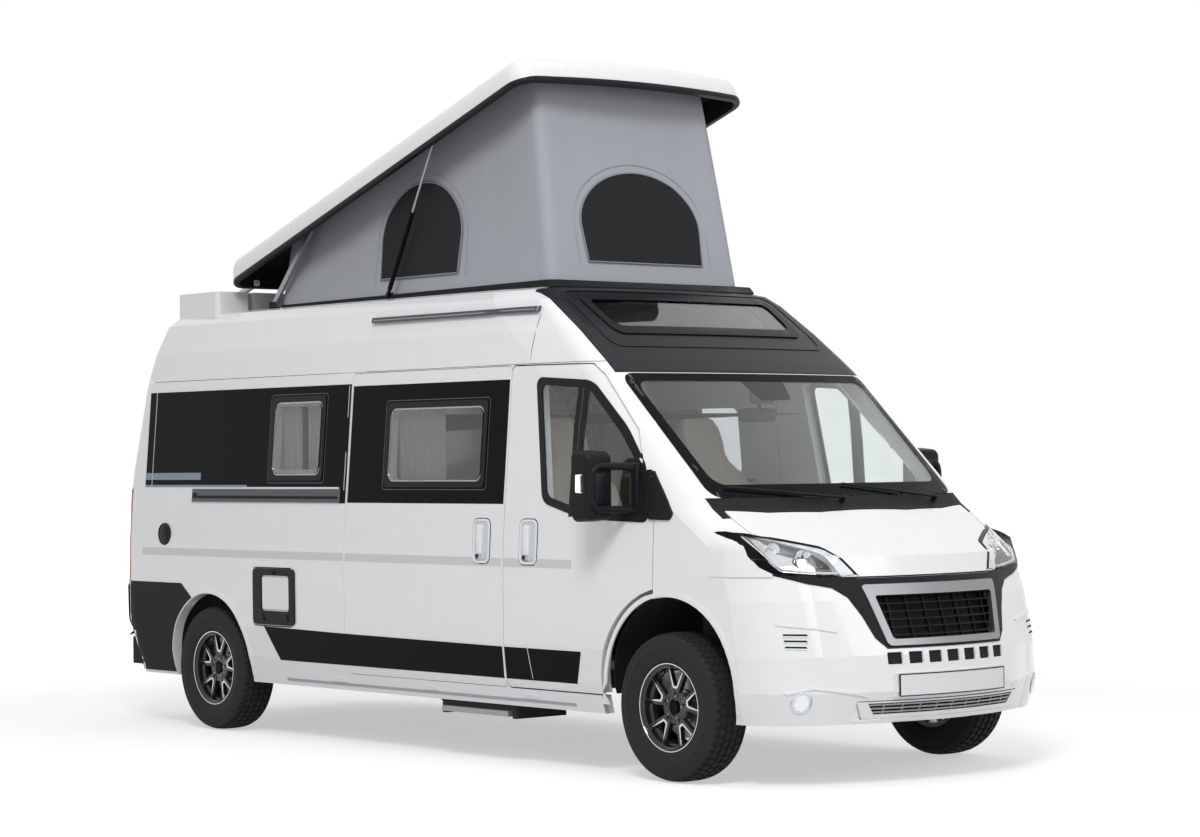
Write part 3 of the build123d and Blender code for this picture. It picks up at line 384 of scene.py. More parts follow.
# Finishes of the pieces that keep their CAD shape
cadLooks = {
    "whitePaint": ["front_bumper", "bonnet", "front_wings", "front_door_right", "front_door_left",
                   "sliding_door", "side_wall_right", "side_wall_left", "roof_panel", "rear_door_right",
                   "rear_door_left", "service_hatch"],
    "whitePlastic": ["pop_roof", "rear_roof_box"],
    "blackGrain": ["cowl", "wheel_houses", "roof_frame", "rear_bumper"],
    "blackSatin": ["grille", "mirror_right", "mirror_left"],
    "fairingPaint": ["roof_visor"],
    "dashSkin": ["dashboard", "steering_wheel"],
    "carpet": ["floor_pan"],
    "leather": ["cab_seats"],
    "cushion": ["bench_seat", "rear_bed"],
    "wood": ["cabinets"],
    "underbody": ["chassis", "front_subframe", "step_housing"],
    "castIron": ["engine_block", "rear_axle", "knuckle_right", "knuckle_left"],
    "zincSteel": ["door_step", "strut_rod_right", "strut_rod_left", "roof_arm_right", "roof_arm_left"],
    "blackGloss": ["strut_cylinder_right", "strut_cylinder_left"],
    "windowGlass": ["front_glass", "door_glass_right", "door_glass_left", "rear_glass_right",
                    "rear_glass_left"],
    "acrylic": ["side_windows"],
    "lensClear": ["front_lamps"],
    "redLens": ["tail_lamps"],
    "tentPiping": ["tent"],
    "tyreRubber": ["tyre_front_right", "tyre_front_left", "tyre_rear_right", "tyre_rear_left"],
    "wheelBlack": ["rim_front_right", "rim_front_left", "rim_rear_right", "rim_rear_left"],
}
for look, names in cadLooks.items():
    for name in names:
        mesh = nodes[name].data
        mesh.materials.clear()
        mesh.materials.append(looks[look][0])
print("CAD nodes given their finishes")


# Road wheels: sizes in metres, turns in degrees
wheelSet = {
    "tyreR": 0.36, "tyreHalf": 0.1125, "seatR": 0.2033, "steps": 108,
    "lipR": 0.214, "rimHalf": 0.095, "hubFace": 0.062, "hubR": 0.074,
    "vSpokes": 5, "vSpread": 16.5, "vTurn": 5.5, "armDepth": 0.024,
    "boltCircle": 0.054, "boltR": 0.0085,
    "discR": 0.152, "discT": 0.024,
}
wheelPlaces = {
    "front_right": (-0.905, -2.051, "right"), "front_left": (0.905, -2.051, "left"),
    "rear_right": (-0.895, 1.984, "right"), "rear_left": (0.895, 1.984, "left"),
}


# Half of the tyre's section from the tread's middle outwards, then mirrored: (across, radius).
def tyreProfile():
    r, h = wheelSet["tyreR"], wheelSet["tyreHalf"]
    half = [(0.006, r - 0.008), (0.0075, r - 0.0002), (0.034, r - 0.0006), (0.0355, r - 0.0085),
            (0.043, r - 0.0085), (0.0445, r - 0.0009), (0.074, r - 0.0042), (0.0755, r - 0.011),
            (0.081, r - 0.0115), (0.0825, r - 0.0065), (0.098, r - 0.013), (0.1045, r - 0.021),
            (0.1078, r - 0.032), (0.1082, r - 0.036), (0.1066, r - 0.0372), (0.1085, r - 0.048),
            (0.1105, r - 0.066), (0.1109, r - 0.072), (h, r - 0.0732), (h, r - 0.0755),
            (0.1106, r - 0.0765), (0.1088, r - 0.098), (0.1045, r - 0.119), (0.1012, r - 0.1285),
            (0.1014, r - 0.131), (0.0985, r - 0.134), (0.094, r - 0.1445),
            (0.0895, wheelSet["seatR"] + 0.006), (0.0885, wheelSet["seatR"])]
    left = [(-a, b) for a, b in reversed(half)]
    return left + half + [left[0]]


def makeTyre(place, centre, body):
    bm = bmesh.new()
    lathe(bm, tyreProfile(), centre, wheelSet["steps"])
    bmesh.ops.remove_doubles(bm, verts=bm.verts, dist=0.00001)
    bmesh.ops.recalc_face_normals(bm, faces=bm.faces)
    mid = Vector(centre)
    sipes = []
    for f in bm.faces:
        at = f.calc_center_median() - mid
        radius = math.hypot(at.y, at.z)
        turn = int(round(math.atan2(at.z, at.y) / math.tau * wheelSet["steps"] - 0.5))
        rib = radius > 0.3475 and f.normal.dot(Vector((0, at.y, at.z)).normalized()) > 0.7
        if rib and f.calc_area() > 0.0002 and (turn + int(abs(at.x) * 40)) % 2 == 0:
            sipes.append(f)
    bmesh.ops.inset_individual(bm, faces=sipes, thickness=0.0045, depth=-0.0055)
    tyre = finishPiece("tyreTread_" + place, bm, "tyreRubber", body, 40, merge=0)
    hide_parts("tyre_" + place)


# A plate in a wheel's plane: outline points are (forward, up) from the hub, front and back are
# distances outwards from the wheel's middle plane.
def flatPlate(bm, outline, centre, side, front, back, bevel=0.0):
    cx, cy, cz = centre
    verts = [bm.verts.new((cx + side * front, cy - u, cz + v)) for u, v in outline]
    face = bm.faces.new(verts)
    made = bmesh.ops.extrude_face_region(bm, geom=[face])
    moved = [g for g in made["geom"] if isinstance(g, bmesh.types.BMVert)]
    bmesh.ops.translate(bm, verts=moved, vec=(side * (back - front), 0, 0))
    if bevel:
        rimEdges = [e for e in face.edges]
        bevelEdges(bm, rimEdges, bevel, 2)


# A point in a wheel's plane, turned clockwise from the top towards the front: (forward, up).
def polar(radius, degrees):
    turn = math.radians(degrees)
    return radius * math.sin(turn), radius * math.cos(turn)


def makeRim(place, centre, side, body):
    w = wheelSet
    seat, lip, half = w["seatR"], w["lipR"], w["rimHalf"]
    bm = bmesh.new()
    barrel = [(-half, seat - 0.012), (-half, lip), (-half + 0.005, lip), (-half + 0.006, seat - 0.0006),
              (-0.02, seat - 0.0006), (-0.012, seat - 0.016), (0.03, seat - 0.016), (0.038, seat - 0.0006),
              (half - 0.006, seat - 0.0006), (half - 0.005, lip), (half, lip), (half, lip - 0.005),
              (half - 0.008, lip - 0.011), (half - 0.016, seat - 0.012), (0.05, seat - 0.014),
              (0.04, seat - 0.026), (-0.02, seat - 0.026), (-half + 0.01, seat - 0.012),
              (-half, seat - 0.012)]
    lathe(bm, [(side * a, r) for a, r in barrel], centre, 96)
    hub = [(0.0, 0.028), (0.0, w["hubR"] - 0.006), (0.04, w["hubR"]),
           (w["hubFace"] - 0.012, w["hubR"] + 0.012), (w["hubFace"] - 0.006, w["hubR"] + 0.006),
           (w["hubFace"] - 0.007, 0.04), (w["hubFace"] - 0.016, 0.036), (w["hubFace"] - 0.016, 0.0)]
    lathe(bm, [(side * a, r) for a, r in hub], centre, 48)
    for k in range(w["vSpokes"]):
        middle = w["vTurn"] + k * 360 / w["vSpokes"]
        for way in (-1, 1):
            tip = middle + way * w["vSpread"]
            a0, a1 = polar(0.062, middle + way * 19), polar(0.062, middle - way * 12)
            b0, b1 = polar(seat - 0.011, tip + way * 4.6), polar(seat - 0.011, tip - way * 1.6)
            flatPlate(bm, [a0, b0, b1, a1], centre, side, w["hubFace"] - 0.003,
                      w["hubFace"] - 0.003 - w["armDepth"], 0.0025)
        web = [polar(0.06, middle - 20), polar(0.100, middle - 9), polar(0.100, middle + 9),
               polar(0.06, middle + 20)]
        flatPlate(bm, web, centre, side, w["hubFace"] - 0.0035, w["hubFace"] - w["armDepth"], 0.002)
    rim = finishPiece("rimBody_" + place, bm, "wheelBlack", body, 35)
    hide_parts("rim_" + place)

    bm = bmesh.new()  # the machined edges: a ring on the lip and a V round each window
    ring = [(half + 0.0004, lip - 0.0002), (half + 0.0004, lip - 0.0045), (half - 0.004, lip - 0.008),
            (half - 0.0045, lip - 0.006), (half - 0.002, lip - 0.0002), (half + 0.0004, lip - 0.0002)]
    lathe(bm, [(side * a, r) for a, r in ring], centre, 96)
    for k in range(w["vSpokes"]):
        middle = w["vTurn"] + k * 360 / w["vSpokes"]
        top, low = w["hubFace"] - 0.0012, w["hubFace"] - 0.006
        for way in (-1, 1):
            tip = middle + way * (w["vSpread"] - 1.7)
            b0 = polar(seat - 0.011, tip)
            b1 = polar(seat - 0.011, tip + way * 1.5)
            a0 = polar(0.104, middle + way * 5.5)
            a1 = polar(0.096, middle + way * 10.5)
            flatPlate(bm, [a0, b0, b1, a1], centre, side, top, low, 0.0008)
        flatPlate(bm, [polar(0.104, middle - 5.5), polar(0.104, middle + 5.5), polar(0.096, middle + 10.5),
                       polar(0.090, middle), polar(0.096, middle - 10.5)], centre, side, top, low, 0.0008)
    finishPiece("rimEdges_" + place, bm, "alloyCut", body, 30)

    bm = bmesh.new()
    cx, cy, cz = centre
    for k in range(5):
        u, v = polar(w["boltCircle"], 14 + k * 72)
        face = w["hubFace"] - 0.016
        start = (cx + side * (face - 0.004), cy - u, cz + v)
        rodPiece(bm, start, (cx + side * (face + 0.013), cy - u, cz + v), w["boltR"], 6)
        rodPiece(bm, (cx + side * (face + 0.012), cy - u, cz + v),
                 (cx + side * (face + 0.019), cy - u, cz + v), w["boltR"] * 0.8, 16,
                 radiusEnd=w["boltR"] * 0.45)
        rodPiece(bm, start, (cx + side * (face + 0.001), cy - u, cz + v), w["boltR"] + 0.004, 20)
    finishPiece("wheelBolts_" + place, bm, "silverTrim", body, 30)
    bm = bmesh.new()
    f = w["hubFace"]
    cap = [(f - 0.02, 0.031), (f - 0.006, 0.031), (f - 0.002, 0.029), (f - 0.0015, 0.0255),
           (f - 0.0035, 0.0245), (f - 0.003, 0.012), (f - 0.0025, 0.0)]
    lathe(bm, [(side * a, r) for a, r in cap], centre, 40)
    finishPiece("wheelCap_" + place, bm, "blackGloss", body, 30)
    bm = bmesh.new()
    u, v = polar(seat - 0.03, w["vTurn"] - 36)
    rodPiece(bm, (cx + side * 0.045, cy - u, cz + v), (cx + side * 0.078, cy - u * 0.97, cz + v * 0.97),
             0.004, 12)
    finishPiece("tyreValve_" + place, bm, "blackSatin", body, 30)


def makeBrake(place, centre, side, wheelBody, hubBody):
    w = wheelSet
    bm = bmesh.new()
    disc = [(-0.035, 0.06), (-0.035, w["discR"]), (-0.035 + w["discT"], w["discR"]),
            (-0.035 + w["discT"], 0.085), (-0.004, 0.08), (-0.002, 0.07), (-0.002, 0.03)]
    lathe(bm, [(side * a, r) for a, r in disc], centre, 64)
    finishPiece("brakeDisc_" + place, bm, "discSteel", wheelBody, 30)
    bm = bmesh.new()
    for low, high, front, back in ((0.104, 0.166, 0.012, -0.001), (0.104, 0.166, -0.041, -0.056),
                                   (0.157, 0.166, 0.006, -0.050)):
        block = [polar(low, 62), polar(high, 60), polar(high, 70), polar(high, 80), polar(high, 90),
                 polar(high, 100), polar(low, 98), polar(low, 80)]
        flatPlate(bm, block, centre, side, front, back, 0.002)
    finishPiece("brakeCaliper_" + place, bm, "silverTrim", hubBody, 30)


for place, (x, y, word) in wheelPlaces.items():
    side = -1 if word == "right" else 1
    centre = (x, y, 0.36)
    body = "wheel_" + place
    makeTyre(place, centre, body)
    makeRim(place, centre, side, body)
    makeBrake(place, centre, side, body, "knuckle_" + word if place.startswith("front") else "root")
print("wheels made")

# Side trims: places are (distance behind the nose, height)
bands = {
    "proud": 0.0014, "depth": 0.005,
    "doorBand": [(2.203, 1.331), (3.589, 1.331), (3.589, 1.970), (2.203, 1.970)],
    "rearBand": [(3.606, 1.327), (3.665, 1.327), (3.674, 1.417), (5.700, 1.417), (5.700, 1.982),
                 (3.606, 1.982)],
    "doorHole": {"right": (2.398, 3.225, 1.446, 1.840), "left": (2.492, 3.319, 1.446, 1.840)},
    "rearHole": (3.867, 4.343, 1.482, 1.896), "holeCorner": 0.045,
    "frameWidth": 0.030, "lineWidth": 0.004,
    "upperStripe": (5.087, 5.715, 1.459, 1.500), "thinStripe": (4.592, 5.710, 1.417, 1.429),
    "rail": (3.650, 5.160, 1.330, 1.405),
    "sillLow": 0.326, "sillStrip": (1.66, 4.22, 0.014), "jackCaps": (2.02, 2.86, 3.70),
    "jackCapZ": (0.343, 0.368),
    "groove": (1.013, 1.056), "grooveFront": (1.64, 2.190), "grooveMiddle": (2.208, 3.590),
    "grooveRear": (3.610, 5.70),
    "bandLine": (5.622, 5.627, 1.419, 1.980), "seamWidth": 0.005,
    "seamLines": ((3.5905, 1.335, 1.966), (3.628, 1.40, 1.61), (3.628, 1.80, 1.975)),
    "lineProud": 0.0026, "lineDepth": 0.002, "lowProud": 0.0016,
    # wheel arches: place, height and radius, and the turns between which the lip runs
    "arches": {"front": (0.948, 0.450, 0.440, -13, 193), "rear": (4.983, 0.380, 0.415, 68, 186)},
    "lipInner": 0.003, "lipOuter": 0.027,
    "lowBandDoor": ((1.619, 0.440), (2.188, 0.440), (2.188, 0.603), (1.573, 0.603)),
    "lowBand": ((2.205, 0.440), (4.251, 0.440), (4.393, 0.627), (3.62, 0.615), (2.205, 0.603)),
    "slantLine": ((1.967, 0.434), (1.972, 0.434), (2.001, 0.612), (1.996, 0.612)),
    "handleAt": (1.985, 1.140), "slideHandleAt": (2.372, 1.140), "capAt": (5.45, 1.137),
    # service hatch: frame, opening and lid, then its hinges along the bottom and the catch at the top
    "hatchOut": (4.074, 4.491, 0.638, 0.956), "hatchIn": (4.127, 4.406, 0.716, 0.917),
    "hatchLid": (4.135, 4.398, 0.724, 0.909), "hatchMiddle": 4.28, "hatchHinges": (4.16, 4.40),
    "hingeZ": 0.668, "catchZ": 0.932,
}


# Places along the side, as (distance behind the nose, height), in the van's own (y, z).
def sideLine(line):
    return [(noseY + s, z) for s, z in line]


def sideBox(s0, s1, z0, z1):
    return sideLine([(s0, z0), (s1, z0), (s1, z1), (s0, z1)])


# A window's rubber frame with a thin bright line round it.
def windowTrim(name, hole, way, body):
    s0, s1, z0, z1 = hole
    w, c = bands["frameWidth"], bands["holeCorner"]
    inner = rounded(sideBox(s0, s1, z0, z1), c)
    outer = rounded(sideBox(s0 - w, s1 + w, z0 - w, z1 + w), 0.03)
    layPanel(name + "Frame", outer, way, 0.008, 0.011, "blackSatin", body, hole=inner, bevel=0.003)
    g = w + 0.010
    lineIn = rounded(sideBox(s0 - g, s1 + g, z0 - g, z1 + g), 0.018)
    g += bands["lineWidth"]
    lineOut = rounded(sideBox(s0 - g, s1 + g, z0 - g, z1 + g), 0.022)
    layPanel(name + "Line", lineOut, way, 0.0024, 0.0015, "railMetal", body, hole=lineIn, bevel=0)


for word, side in sides:
    way = (-side, 0, 0)
    doorBody = "door_" + word
    b = bands
    holeDoor = rounded(sideBox(*b["doorHole"][word]), b["holeCorner"])
    holeRear = rounded(sideBox(*b["rearHole"]), b["holeCorner"])
    layPanel("doorBand_" + word, sideLine(b["doorBand"]), way, b["proud"], b["depth"], "blackGloss",
             hole=holeDoor)
    layPanel("rearBand_" + word, sideLine(b["rearBand"]), way, b["proud"], b["depth"], "blackGloss",
             hole=holeRear)
    windowTrim("doorWindow_" + word, b["doorHole"][word], way, "root")
    windowTrim("rearWindow_" + word, b["rearHole"], way, "root")
    for name, spot in (("upperStripe_", b["upperStripe"]), ("thinStripe_", b["thinStripe"])):
        s0, s1, z0, z1 = spot
        layPanel(name + word, sideBox(s0, min(s1, 5.699), z0, z1), way, b["lineProud"], b["lineDepth"],
                 "bandStripe", bevel=0)
    layPanel("bandLine_" + word, sideBox(*b["bandLine"]), way, b["lineProud"], b["lineDepth"], "paleStripe",
             bevel=0)
    for k, (s, low, high) in enumerate(b["seamLines"]):
        seam = sideBox(s - 0.001 - b["seamWidth"], s - 0.001, low, high)
        layPanel("seamLine_%s_%d" % (word, k), seam, way, b["lineProud"], b["lineDepth"], "paleStripe",
                 bevel=0)

    # the low black band: front door, middle, and the part ahead of the rear wheel
    layPanel("lowBandDoor_" + word, sideLine(b["lowBandDoor"]), way, b["lowProud"], 0.004, "blackGloss",
             doorBody)
    layPanel("lowBand_" + word, sideLine(b["lowBand"]), way, b["lowProud"], 0.004, "blackGloss")
    layPanel("slantLine_" + word, sideLine(b["slantLine"]), way, 0.0022, 0.0015, "paleStripe", doorBody,
             bevel=0)

    # the pressed groove along the side: a flat strip barely proud of the skin in white paint darkened to
    # grey, painted shade standing in for the groove's shading
    for name, span, body in (("front", "grooveFront", doorBody), ("middle", "grooveMiddle", "root"),
                             ("rear", "grooveRear", "root")):
        layPanel("groove_%s_%s" % (name, word), sideBox(*b[span], *b["groove"]), way, 0.0012, 0.003,
                 "swagePaint", body, bevel=0)

    # raised lips round the wheel arches
    for name, (s, z, r, start, end) in b["arches"].items():
        turns = [math.radians(start + (end - start) * k / 30) for k in range(31)]
        inner, outer = r + b["lipInner"], r + b["lipOuter"]
        lip = [(s + inner * math.cos(t), z + inner * math.sin(t)) for t in turns]
        lip += [(s + outer * math.cos(t), z + outer * math.sin(t)) for t in reversed(turns)]
        layPanel("archLip_%s_%s" % (name, word), sideLine(lip), way, 0.0045, 0.008, "whitePaint", cell=0.08,
                 bevel=0.002)

    # sill: white face over a grey strip along its lower edge
    s0, s1, high = b["sillStrip"]
    layPanel("sillStrip_" + word, sideBox(s0, s1, b["sillLow"], b["sillLow"] + high), way, 0.003, 0.008,
             "zincSteel", bevel=0.001)
    for s in b["jackCaps"]:
        cap = rounded(sideBox(s - 0.06, s + 0.06, *b["jackCapZ"]), 0.008)
        layPanel("jackCap_%s_%d" % (word, s * 100), cap, way, 0.004, 0.008, "whitePlastic", bevel=0.0015)


# Half width, half height and corner radius of each outline of a door handle
handleSizes = {"Line": (0.075, 0.119, 0.040), "Rim": (0.070, 0.114, 0.036), "Dish": (0.058, 0.102, 0.028)}


# A door handle: a tall rounded dish in a dark outline, with an upright grip and a lock barrel. The dish is
# a flat pale grey plate just proud of the skin, painted shade standing in for the recess.
def doorHandle(name, s, z, side, body):
    way = (-side, 0, 0)
    lines = {k: rounded(sideBox(s - a, s + a, z - b, z + b), c) for k, (a, b, c) in handleSizes.items()}
    layPanel(name + "Line", lines["Line"], way, 0.0012, 0.003, "blackSatin", body, hole=lines["Rim"],
             bevel=0)
    layPanel(name + "Rim", lines["Rim"], way, 0.0055, 0.008, "whitePaint", body, hole=lines["Dish"],
             bevel=0.002)
    # the dish: a flat pale grey plate, painted shade standing in for the recess behind the grip
    layPanel(name + "Dish", lines["Dish"], way, 0.0012, 0.003, "paleStripe", body, bevel=0)
    x, y, z = onSkin((0, noseY + s, z), way)
    bm = bmesh.new()
    boxPiece(bm, (x - 0.019, y - 0.012, z - 0.070), (x + 0.019, y + 0.028, z + 0.084), 0.011, 4)
    finishPiece(name + "Grip", bm, "whitePaint", body, 40)
    bm = bmesh.new()
    rodPiece(bm, (x - side * 0.004, y + 0.034, z - 0.078), (x + side * 0.007, y + 0.034, z - 0.078), 0.012,
             28)
    finishPiece(name + "Lock", bm, "blackSatin", body, 35)


for word, side in sides:
    doorHandle("doorHandle_" + word, *bands["handleAt"], side, "door_" + word)
doorHandle("slideHandle", *bands["slideHandleAt"], -1, "root")

# Filler cap, service hatch frame with its hinges, sliding door rail
bm = bmesh.new()
s, z = bands["capAt"]
x, y, z = onSkin((0, noseY + s, z), (1, 0, 0))
lathe(bm, [(0.0, 0.0), (0.010, 0.0), (0.011, 0.030), (0.009, 0.046), (0.006, 0.0505), (0.006, 0.055),
           (0.009, 0.058), (0.0085, 0.064), (0.002, 0.0665), (-0.002, 0.067)], (x, y, z), 56, (-1, 0, 0))
boxPiece(bm, (x - 0.016, y - 0.030, z - 0.006), (x - 0.009, y + 0.030, z + 0.006), 0.0028, 3)
finishPiece("fillerCap", bm, "blackSatin", "root", 40)
outerHatch = sideBox(*bands["hatchOut"])
innerHatch = rounded(sideBox(*bands["hatchIn"]), 0.018)
layPanel("hatchFrame", rounded(outerHatch, 0.03), (1, 0, 0), 0.009, 0.009, "blackSatin", "service_hatch",
         hole=innerHatch, bevel=0.003)
layPanel("hatchPanel", rounded(sideBox(*bands["hatchLid"]), 0.014), (1, 0, 0), 0.006, 0.006, "whitePlastic",
         "service_hatch", bevel=0.002)
bm = bmesh.new()
middle, z = noseY + bands["hatchMiddle"], bands["hingeZ"]
x = onSkin((0, middle, 0.67), (1, 0, 0))[0]
for s in bands["hatchHinges"]:
    rodPiece(bm, (x - 0.010, noseY + s - 0.028, z), (x - 0.010, noseY + s + 0.028, z), 0.007, 20)
    boxPiece(bm, (x - 0.013, noseY + s - 0.022, z), (x - 0.006, noseY + s + 0.022, z + 0.032), 0.002)
z = bands["catchZ"]
rodPiece(bm, (x - 0.008, middle, z), (x - 0.014, middle, z), 0.013, 28)
boxPiece(bm, (x - 0.019, middle - 0.010, z - 0.003), (x - 0.012, middle + 0.010, z + 0.003), 0.002)
finishPiece("hatchHinges", bm, "blackSatin", "service_hatch", 40)
s0, s1, z0, z1 = bands["rail"]
layPanel("slideRail", sideBox(s0, s1, z0, z1), (1, 0, 0), 0.010, 0.012, "railMetal", bevel=0.003)
layPanel("railSlot", sideBox(s0 + 0.02, s1 - 0.06, z0 + 0.020, z0 + 0.036), (1, 0, 0), 0.0106, 0.002,
         "blackGrain", bevel=0)
layPanel("railCatch", rounded(sideBox(s1 - 0.05, s1 - 0.012, z0 + 0.022, z0 + 0.052), 0.006), (1, 0, 0),
         0.016, 0.008, "blackSatin", bevel=0.002)
print("side trims made")

# Front doors: window surround and mirrors. Window places are (distance behind the nose, height)
doorParts = {
    "window": [(1.968, 1.960), (1.873, 1.353), (1.560, 1.275), (1.098, 1.262), (1.132, 1.500),
               (1.304, 1.697), (1.578, 1.934)],
    "surround": 0.016, "reveal": 0.024, "bar": (1.590, 1.668),
    "foot": [(1.170, 1.262), (1.090, 1.261), (1.090, 1.500), (1.150, 1.500)],
    "base": [(1.084, 1.261), (0.938, 1.258), (0.914, 1.292), (1.084, 1.499)],
    "mirrorX": 1.152, "mirrorY": -1.689, "mirrorZ": 1.425, "mirrorHalf": (0.092, 0.056, 0.174),
}


# A closed outline with each edge moved in by a gap, out if it is below zero.
def moved(points, gap):
    area = sum(a[0] * b[1] - b[0] * a[1] for a, b in zip(points, points[1:] + points[:1]))
    spin = 1 if area > 0 else -1
    out = []
    for i, p in enumerate(points):
        before, after = Vector(points[i - 1]), Vector(points[(i + 1) % len(points)])
        p = Vector(p)
        one, two = (p - before).normalized(), (after - p).normalized()
        n1, n2 = Vector((-one.y, one.x)) * spin, Vector((-two.y, two.x)) * spin
        mid = (n1 + n2).normalized()
        out.append(tuple(p + mid * gap / max(0.35, mid.dot(n1))))
    return out


for word, side in sides:
    d = doorParts
    way, body = (-side, 0, 0), "door_" + word
    window = sideLine(d["window"])
    outLine = rounded(moved(window, -d["surround"]), 0.05)
    inLine = rounded(moved(window, d["reveal"]), 0.035)
    layPanel("doorSurround_" + word, outLine, way, 0.0035, 0.012, "blackSatin", body, hole=inLine,
             cell=0.07, bevel=0.002)
    s0, s1 = d["bar"]
    for k, (a, b) in enumerate(((s0, s0 + 0.036), (s0 + 0.042, s1))):
        bar = sideLine([(a + 0.006, 1.272), (b + 0.006, 1.270), (b - 0.004, 1.945), (a - 0.004, 1.930)])
        layPanel("windowBar_%s_%d" % (word, k), bar, way, 0.0025, 0.014, "blackSatin", body, cell=0.08,
                 bevel=0.001)
    guide = sideLine([(s0 + 0.042, 1.272), (s0 + 0.048, 1.272), (s0 + 0.038, 1.94), (s0 + 0.032, 1.94)])
    layPanel("windowGuide_" + word, guide, way, 0.0015, 0.01, "railMetal", body, bevel=0)
    for name, line, carrier in (("mirrorFoot_", d["foot"], body), ("mirrorBase_", d["base"], "root")):
        layPanel(name + word, rounded(sideLine(line), 0.012), way, 0.010, 0.012, "blackSatin", carrier,
                 cell=0.05, bevel=0.003)
    x, y, z = side * d["mirrorX"], d["mirrorY"], d["mirrorZ"]
    hx, hy, hz = d["mirrorHalf"]

    # the shell: a rounded box, narrower and lower towards the front
    bm = bmesh.new()
    verts = boxPiece(bm, (x - hx, y - hy, z - hz), (x + hx, y + hy, z + hz))
    upright = [e for e in bm.edges if abs((e.verts[0].co - e.verts[1].co).normalized().y) > 0.9]
    bevelEdges(bm, upright, 0.042, 6)
    front = [e for e in bm.edges if all(v.co.y < y for v in e.verts)]
    bevelEdges(bm, front, 0.030, 5)
    for v in bm.verts:
        share = max(0, (y + hy - v.co.y) / (2 * hy))
        v.co.x = x + (v.co.x - x) * (1 - 0.14 * share)
        v.co.z = z + (v.co.z - z) * (1 - 0.06 * share)
    shell = finishPiece("mirrorShell_" + word, bm, "blackSatin", body, 40)
    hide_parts("mirror_" + word)
    bm = bmesh.new()
    verts = boxPiece(bm, (x - hx + 0.010, y + hy - 0.004, z - hz + 0.012),
                     (x + hx - 0.010, y + hy + 0.0015, z + hz - 0.012))
    upright = [e for e in bm.edges if abs((e.verts[0].co - e.verts[1].co).normalized().y) > 0.9]
    bevelEdges(bm, upright, 0.034, 6)
    finishPiece("mirrorGlass_" + word, bm, "chrome", body, 30)
    bm = bmesh.new()
    boxPiece(bm, (x - hx + 0.014, y + hy + 0.0012, z - 0.083), (x + hx - 0.014, y + hy + 0.0024, z - 0.077),
             0.0004, 1)
    finishPiece("mirrorSplit_" + word, bm, "blackGrain", body, 30)

    # the two arms and the bar between them, in front of the shell, then the panel inside them
    foot = onSkin((0, noseY + 1.045, 1.40), way)
    fx = foot.x + side * 0.006
    armY = y - hy - 0.006
    route = [(fx, armY - 0.050, z + 0.088), (fx + side * 0.060, armY - 0.020, z + 0.094),
             (x - side * 0.03, armY, z + 0.096), (x + side * 0.028, armY + 0.002, z + 0.092),
             (x + side * 0.055, armY + 0.005, z + 0.062), (x + side * 0.060, armY + 0.006, z),
             (x + side * 0.055, armY + 0.005, z - 0.075), (x + side * 0.028, armY + 0.002, z - 0.108),
             (x - side * 0.03, armY, z - 0.114), (fx + side * 0.060, armY - 0.020, z - 0.116),
             (fx, armY - 0.050, z - 0.120)]
    smooth = []
    for i in range(len(route) - 1):
        p0, p1, p2, p3 = (Vector(route[max(0, min(len(route) - 1, j))]) for j in (i - 1, i, i + 1, i + 2))
        for k in range(5):
            t = k / 5
            smooth.append(0.5 * (2 * p1 + (p2 - p0) * t + (2 * p0 - 5 * p1 + 4 * p2 - p3) * t * t
                                 + (3 * p1 - p0 - 3 * p2 + p3) * t ** 3))
    smooth.append(Vector(route[-1]))
    bm = bmesh.new()
    tubeAlong(bm, smooth, 0.0185, 14)
    finishPiece("mirrorArm_" + word, bm, "blackSatin", body, 50)
    bm = bmesh.new()
    boxPiece(bm, (x - 0.052, y - hy - 0.006, z - 0.088), (x + 0.038, y - hy + 0.02, z + 0.072), 0.012, 3)
    finishPiece("mirrorPanel_" + word, bm, "fairingPaint", body, 40)
    bm = bmesh.new()
    lens = (x + side * (hx - 0.012), x + side * (hx + 0.0045))
    boxPiece(bm, (min(lens), y - hy + 0.030, z - 0.035), (max(lens), y + hy - 0.025, z + 0.060), 0.010, 3)
    finishPiece("mirrorLamp_" + word, bm, "lensClear", body, 40)
    bm = bmesh.new()
    block = sorted((foot.x - side * 0.02, fx + side * 0.012))
    verts = boxPiece(bm, (block[0], armY - 0.085, z - 0.150), (block[1], armY - 0.020, z + 0.112))
    edges = list({e for v in verts for e in v.link_edges})
    bevelEdges(bm, edges, 0.014, 3)
    finishPiece("mirrorPost_" + word, bm, "blackSatin", body, 40)
print("doors and mirrors made")

# Front end. Outlines are (distance from the middle, height) seen from the front
nose = {
    "rows": ((0.30, 0.060, 0.190), (0.45, 0.0, 0.170), (0.62, 0.020, 0.190), (0.88, 0.105, 0.255),
             (1.08, 0.190, 0.330)),
    "arcHalf": (0.640, 0.680, 0.700, 0.700, 0.700),
    "trim": [(0.387, 0.650), (0.440, 0.700), (0.484, 0.805), (0.536, 0.893), (0.600, 0.938), (0.720, 0.962),
             (0.862, 1.004), (0.852, 1.014), (0.455, 0.981)],
    "frameOut": [(0.386, 0.663), (0.458, 0.951)], "frameIn": [(0.352, 0.694), (0.402, 0.899)],
    "gridRows": 6, "gridStep": 0.037, "gridLow": 0.710, "gridColumns": 7, "columnStep": 0.108,
    "barWidth": 0.0055,
    "slotPitch": 0.118, "slotHalf": 0.045, "slotLow": 0.572, "slotHigh": 0.636, "slotRim": 0.004,
    "plateHalf": (0.362, 0.0535), "plateHeight": 0.478, "plateRim": 0.005,
    "lowGrille": [(0.515, 0.322), (0.553, 0.404)], "lowGrilleIn": [(0.462, 0.343), (0.500, 0.396)],
    "lowBars": (0.353, 0.370, 0.387), "lowPosts": 9, "lowPostStep": 0.102,
    "lip": [(0.560, 0.3005), (0.560, 0.321)],
}
